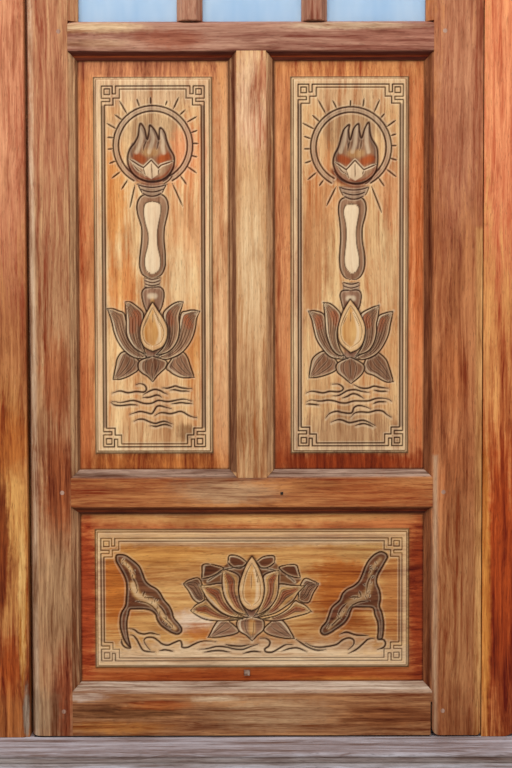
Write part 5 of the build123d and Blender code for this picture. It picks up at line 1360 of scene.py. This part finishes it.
def panel_wood(panel_name, name, grain, seed, border, field):
    """Dresses a panel in wood with the carving's shades, painted shade and painted highlight, taken from its
    attributes.
    """
    material = new_material(name)
    g = Graph(material.node_tree)
    masks = {}
    for group, names in MASK_GROUPS.items():
        layer = g.node("ShaderNodeAttribute", attribute_name=group).outputs
        masks.update(zip(names, [*g.separate(layer["Vector"])[0:3], layer["Alpha"]]))
    grown = wood_growth(g, grain, seed, CARVED_CONTRAST)
    shade = wood_tint(g, grown, *field)
    shade = g.mix(masks["border"], shade, wood_tint(g, grown, *border))
    for mask_name, dark, light in MASK_SHADES:
        shade = g.mix(masks[mask_name], shade, g.mix(grown["streak"], colour(dark), colour(light)))
    pale_share = g.range(grown["streak"], 0.0, 1.0, LEAST_PALE_SHARE, 1.0, smooth=False)
    # Pale: wear and painted highlight; line: painted shade and dirt
    shade = g.mix(g.math("MULTIPLY", masks["pale"], pale_share), shade, colour(PALE_SHADE))
    shade = g.mix(g.math("MULTIPLY", masks["line"], SHADE_AND_DIRT_STRENGTH), shade, colour(LINE_SHADE))
    wood_finish(g, grown, shade)
    panels[panel_name].data.materials.append(material)


# Dark shade, light shade and patches: first those of a panel's border, then of its field
panel_wood(
    "upper_left_panel", "upper_left_carving", "z", 1.3,
    (
        # The light shades of the ovals down the left and right borders are painted highlights on the varnish
        "a85a34", "d59a68", oval(80, 830, 60, 700, "ac5630", "e6a672", 0.85),
        oval(350, 830, 60, 640, "b87946", "f0cb9f", 0.9), oval(180, 1182, 280, 44, "74382a", "c8845c", 0.85),
        oval(220, 486, 330, 50, "7b2c13", "c3773b", 0.95), oval(96, 560, 40, 220, "8a3a1c", "c06c3c", 0.7)),
    (
        "c28c5a", "e6c799", oval(150, 950, 50, 170, "c8803f", "e3a963", 0.75),
        oval(280, 1020, 70, 110, "cf7f48", "e8a877", 0.7), oval(165, 800, 60, 110, "c8743a", "dc9a56", 0.75),
        oval(290, 900, 60, 140, "c98a58", "e2b184", 0.6), oval(285, 690, 40, 140, "b0662c", "d89850", 0.75),
        oval(150, 690, 40, 80, "cfa060", "eed0a0", 0.6), oval(277, 541, 28, 28, "583418", "8a6038", 0.95),
        oval(220, 1136, 190, 50, "a07a5c", "d8bc9c", 0.75),
        oval(216, 1080, 110, 70, "886a50", "c4a480", 0.85), oval(276, 1040, 36, 80, "cc845a", "e6a67c", 0.7),
        oval(220, 530, 180, 60, "9a6f48", "d2b088", 0.5), oval(265, 820, 60, 90, "c5a070", "ead6b0", 0.6)),
)
panel_wood(
    "upper_right_panel", "upper_right_carving", "z", 4.1,
    (
        # The light shades of the ovals down the left and right borders are painted highlights on the varnish
        "9d5532", "cf8f60", oval(430, 830, 60, 700, "a45c38", "e6aa78", 0.85),
        oval(700, 850, 60, 600, "bc6c38", "f0a06c", 0.9), oval(566, 1182, 300, 46, "94461f", "dc9c62", 0.85),
        oval(566, 486, 330, 52, "672008", "a1451d", 1.0), oval(444, 560, 40, 220, "7a3014", "b0592c", 0.7)),
    (
        "b98456", "dcbc8e", oval(500, 830, 60, 260, "a0683f", "c08c60", 0.85),
        oval(640, 830, 60, 260, "bf8c5c", "dfc49a", 0.6), oval(570, 1130, 160, 50, "b08a68", "dcc4a0", 0.6),
        oval(574, 1076, 110, 66, "886a50", "c4a480", 0.8), oval(520, 960, 60, 120, "bd7c48", "dca574", 0.6),
        oval(640, 960, 50, 120, "b87448", "d9a074", 0.6), oval(566, 540, 200, 80, "7a573b", "c09a76", 0.75),
        oval(640, 700, 50, 120, "b27844", "d8a874", 0.5)),
)
panel_wood(
    "lower_panel", "lower_carving", "x", 7.7,
    (
        "8a3414", "c47a48", oval(380, 392, 560, 34, "b06a34", "e8b878", 0.95),
        oval(394, 100, 640, 40, "7a2c0f", "b8602c", 1.0), oval(98, 240, 40, 330, "742304", "b4502a", 1.0),
        oval(692, 240, 40, 330, "621a06", "a04420", 1.0), oval(250, 400, 120, 18, "c89058", "f0d0a0", 0.7),
        oval(560, 96, 160, 12, "b06024", "e0a050", 0.5)),
    (
        "9a6230", "d2a468", oval(150, 260, 70, 150, "84400e", "c6742c", 0.9),
        oval(230, 325, 180, 50, "8f5424", "cf9650", 0.8), oval(270, 255, 90, 60, "b07c40", "e4bc80", 0.7),
        oval(555, 262, 110, 150, "7a340a", "bc6c28", 0.9), oval(645, 250, 40, 160, "8a4a20", "bf8048", 0.8),
        oval(590, 330, 130, 40, "8c6030", "c09a64", 0.7), oval(394, 142, 600, 50, "b09068", "f0dcc0", 0.85),
        oval(290, 205, 70, 36, "c8b4a0", "f4e8dc", 0.75), oval(300, 182, 50, 30, "9a4e16", "cc7c30", 0.7),
        oval(480, 190, 120, 40, "a87840", "e0b880", 0.6), oval(394, 346, 460, 16, "a88860", "e0ccb0", 0.6)),
)

# Corners of a CAD node that are split are joined, then its arrises are rounded a little
WELD_REACH = 0.00002
WORN_WIDTH = 0.0013
WORN_STEPS = 2
SHARP_ANGLE = 30


def soften(node):
    weld = node.modifiers.new("weld", "WELD")
    weld.merge_threshold = WELD_REACH
    bevel = node.modifiers.new("worn_edges", "BEVEL")
    bevel.width = WORN_WIDTH
    bevel.segments = WORN_STEPS
    bevel.limit_method = "ANGLE"
    bevel.angle_limit = math.radians(SHARP_ANGLE)


def dress(material, *node_names):
    for node_name in node_names:
        materials = nodes[node_name].data.materials
        materials.clear()
        materials.append(material)


MEMBER_DULL = 0.62
SILL_DULL = 0.78
FIRST_SEED = 0.7
SEED_GAP = 1.9
members = []


def member_wood(node_name, grain, dark, light, *patches, dull=MEMBER_DULL):
    """Dresses a wooden member and wears its arrises."""
    seed = FIRST_SEED + SEED_GAP * len(members)
    members.append(node_name)
    dress(wood_material(node_name + "_wood", grain, dark, light, *patches, seed=seed, dull=dull), node_name)
    soften(nodes[node_name])


member_wood(
    "hanging_stile", "z", "85482c", "bc926d",
    band(-8, 14, -5, 2240, "a5856c", "e6d0b8", 0.85, 5.0), oval(40, 1160, 90, 500, "965444", "bf8a68", 0.8),
    oval(52, 440, 56, 190, "5c2410", "a8592f", 0.9), oval(44, 250, 70, 210, "6b4a30", "b08c6a", 0.8),
    oval(60, 70, 34, 170, "5a1e0e", "9c4c2a", 0.85), oval(50, 640, 50, 150, "7a3418", "b4683c", 0.7),
    band(75, 84, 80, 1210, "7c5238", "c4a07c", 0.75, 2.0),
    # The dark band at 84.5 to 89 is painted shadow in the corner between moulding and panel
    band(84.5, 89, 80, 1210, "381a0c", "6e442c", 0.85, 1.2), oval(20, 40, 60, 90, "6b5138", "a58c72", 0.6),
)
member_wood(
    "closing_stile", "z", "86482d", "b77950",
    oval(752, 440, 56, 190, "60260f", "a85c34", 0.75), oval(748, 640, 50, 160, "74300f", "b4693c", 0.6),
    oval(760, 1160, 90, 500, "9b614d", "c18a6c", 0.8), oval(760, 230, 90, 460, "814522", "a97a52", 0.8),
    # Painted shade on the right-hand moulding, turned away from the light
    band(699, 713, 80, 1210, "421c0c", "7c482c", 0.85, 2.0),
    band(714, 723, -5, 500, "8e7a66", "c3ad95", 0.6, 4.0),
    band(789, 805, -5, 900, "a07040", "dcae74", 0.65, 5.0),
)
member_wood(
    "bottom_rail", "x", "6d3a21", "b2815a",
    oval(170, 42, 200, 26, "3c1a0a", "8c5a36", 0.9), oval(150, 14, 170, 20, "8a4c1c", "d0904c", 0.8),
    oval(230, 54, 120, 14, "8c3c14", "c8763c", 0.7), oval(420, 40, 220, 60, "835837", "c0a080", 0.85),
    oval(640, 34, 170, 40, "5c2a12", "a26238", 0.7), oval(96, 70, 60, 16, "a08c80", "e8dcd4", 0.7),
    # The pale band from 79.5 to 95 is painted light on the foot moulding, which faces up
    oval(330, 66, 90, 12, "b09478", "e4d2b8", 0.6), band(70, 716, 79.5, 95, "8c776a", "c8bcb2", 0.8, 2.5),
    band(70, 716, 85, 86.5, "54402f", "8c7664", 0.7, 1.0),
    band(70, 716, 76, 79.5, "a8907c", "e4d8cc", 0.5, 1.5),
)
member_wood(
    "lock_rail", "x", "80381a", "b67b4c",
    oval(350, 436, 180, 50, "6c4028", "bc9c7c", 0.75),
    # Painted light on the upper panels' foot moulding, which faces up
    band(70, 716, 461, 476, "5e4c42", "a8938a", 0.85, 2.5),
    band(70, 716, 466, 467.5, "4a342a", "7c6656", 0.7, 1.0),
    # Deep red varnish darkened with painted shade on the lower panel's head moulding, which faces down
    band(70, 716, 394, 408.5, "340c04", "60301e", 0.95, 2.0),
    band(70, 716, 400, 402, "702c12", "a8542c", 0.7, 1.0), oval(620, 436, 180, 44, "8a3c18", "b8703e", 0.6),
)
member_wood(
    "upper_rail", "x", "7a4a44", "b08674",
    oval(660, 1232, 220, 50, "744038", "a87262", 0.8), oval(250, 1228, 120, 36, "743a2c", "a05c44", 0.7),
    oval(130, 1250, 170, 18, "a88468", "e0c8a4", 0.85), oval(560, 1252, 210, 13, "a08470", "dcc8ac", 0.8),
    oval(130, 1222, 120, 14, "96705c", "ccaa8e", 0.7),
    # Deep red varnish darkened with painted shade on the upper panels' head moulding, which faces down
    band(70, 716, 1193, 1208.5, "340802", "5c2210", 0.95, 2.0),
    band(70, 716, 1200, 1202, "7c2c10", "b85828", 0.7, 1.0),
)
member_wood("top_rail", "x", "8c5a4c", "bc927c")
member_wood(
    "muntin", "z", "a8764e", "d3ab80",
    oval(394, 1120, 60, 180, "b6765d", "e9c9a9", 0.85), oval(394, 830, 60, 300, "c3a377", "dcc19d", 0.85),
    oval(394, 560, 60, 200, "9f6e44", "c9a981", 0.85), oval(410, 1160, 20, 80, "95482c", "c07c58", 0.7),
    # Painted shade: the dark bands from 353 to 367 are the corner and the left panel's right-hand moulding,
    # turned from the light
    band(353, 358, 470, 1210, "3c1c0e", "6c4028", 0.9, 1.2),
    band(358, 367, 470, 1210, "50281a", "8a6046", 0.95, 1.5),
    band(422, 431, 470, 1210, "7c5038", "b8906e", 0.8, 1.5),
    # Painted shadow in the corner between the moulding and the right panel
    band(431.5, 436, 470, 1210, "3c1c0e", "6c4028", 0.85, 1.2),
)
member_wood("left_glazing_bar", "z", "8c5c4e", "bf9680")
member_wood("right_glazing_bar", "z", "86564a", "b98f7a")
member_wood(
    "left_jamb", "z", "84452a", "b67b50",
    oval(-35, 1150, 90, 600, "b3715b", "dc9f7c", 0.9), oval(-35, 380, 90, 500, "7f3013", "cb9454", 0.85),
    oval(-35, 60, 90, 170, "581404", "b8703c", 1.0), oval(-34, 520, 70, 120, "7a3410", "b8682c", 0.8),
    oval(-25, 400, 44, 150, "b4783a", "e0b06c", 0.75),
    oval(-48, 330, 24, 240, "541a08", "8c3c14", 0.9, 0.35),
    oval(-36, 130, 50, 110, "661a06", "a84c18", 0.85),
    oval(-14, 250, 13, 260, "b48038", "ecc684", 0.9, 0.35),
    oval(-8, 36, 10, 90, "6c6258", "a89c90", 0.85, 0.3),
)
member_wood(
    "right_jamb", "z", "a34f2a", "d2955c",
    oval(835, 1150, 90, 600, "c66d50", "ea9c72", 0.9), oval(835, 300, 100, 600, "6a1a06", "b04c1e", 1.0),
    oval(808, 250, 16, 500, "b8702c", "dca050", 0.7), oval(850, 60, 60, 140, "5c1806", "8c3a18", 0.7),
)
member_wood("head", "x", "9a5c40", "cc9270")
member_wood(
    "sill", "x", "78727c", "b2b0c0",
    band(-80, 880, -24, -10, "5a4f50", "8c8078", 0.6, 3.0), dull=SILL_DULL,
)

bead_nodes = [name for name in nodes if name.endswith("_bead")]
dress(wood_material("bead_wood", "z", "7c4e3c", "b0866c", seed=21.0), *bead_nodes)
peg_wood = wood_material("peg_end_grain", "z", "86665a", "b89a8e", contrast=0.8, seed=30.0)
dress(peg_wood, "leaf_pegs", "frame_pegs")

BLOTCH_SCALE = (0.12, 0.12, 0.12)
GRIT_SCALE = (0.9, 0.9, 0.9)
BLOTCH_STOPS = (0.35, 0.65)
GRIT_SPREAD = 0.25
IRON_BUMP = (0.0003, 0.5)
IRON_METALLIC = 0.7


def iron_material(name, dark, light, gloss):
    """Forged iron with rust in blotches and a gritty skin."""
    material = new_material(name)
    g = Graph(material.node_tree)
    place = leaf_place(g)
    blotch = g.noise(g.vector("MULTIPLY", place, BLOTCH_SCALE), detail=5.0)
    grit = g.noise(g.vector("MULTIPLY", place, GRIT_SCALE))
    shade = g.ramp(blotch, zip(BLOTCH_STOPS, (dark, light)))
    rough = g.range(grit, 0.3, 0.7, gloss, gloss + GRIT_SPREAD)
    g.surface(shade, rough, g.bump(grit, *IRON_BUMP), Metallic=IRON_METALLIC)
    return material


IRON_NODES = ("bolt_plate", "bolt_nails", "bolt_rod", "strike_plate", "strike_nails")
PIVOT_NODES = ("pivot_cup", "pivot_shoe", "pivot_ring")
dress(iron_material("forged_iron", "1d1a19", "4a3a30", 0.45), "rail_nail", *IRON_NODES, *PIVOT_NODES)
dress(iron_material("worn_nail", "7c5a48", "c0a898", 0.35), "panel_nail")

# The pane's blue is its own tint and a painted reflection of the sky, in soft smears
WAVE_SCALE = (0.012, 0.012, 0.006)
SKY_REFLECTION_SCALE = (0.03, 0.03, 0.008)
PANE_TINT_AND_SKY = [(0.2, "a6caec"), (0.8, "cce1f4")]
PANE_ROUGH = (0.03, 0.09)
PANE_BUMP = (0.0015, 0.08)
PANE_SETTINGS = {"Transmission Weight": 0.35, "IOR": 1.45}
pane = new_material("pale_pane")
g = Graph(pane.node_tree)
place = leaf_place(g)
wave = g.noise(g.vector("MULTIPLY", place, WAVE_SCALE), detail=2.0)
sky_reflection_smear = g.noise(g.vector("MULTIPLY", place, SKY_REFLECTION_SCALE), detail=2.0)
rough = g.range(sky_reflection_smear, 0.3, 0.7, *PANE_ROUGH)
g.surface(g.ramp(sky_reflection_smear, PANE_TINT_AND_SKY), rough, g.bump(wave, *PANE_BUMP), **PANE_SETTINGS)
dress(pane, "left_glass", "middle_glass", "right_glass")
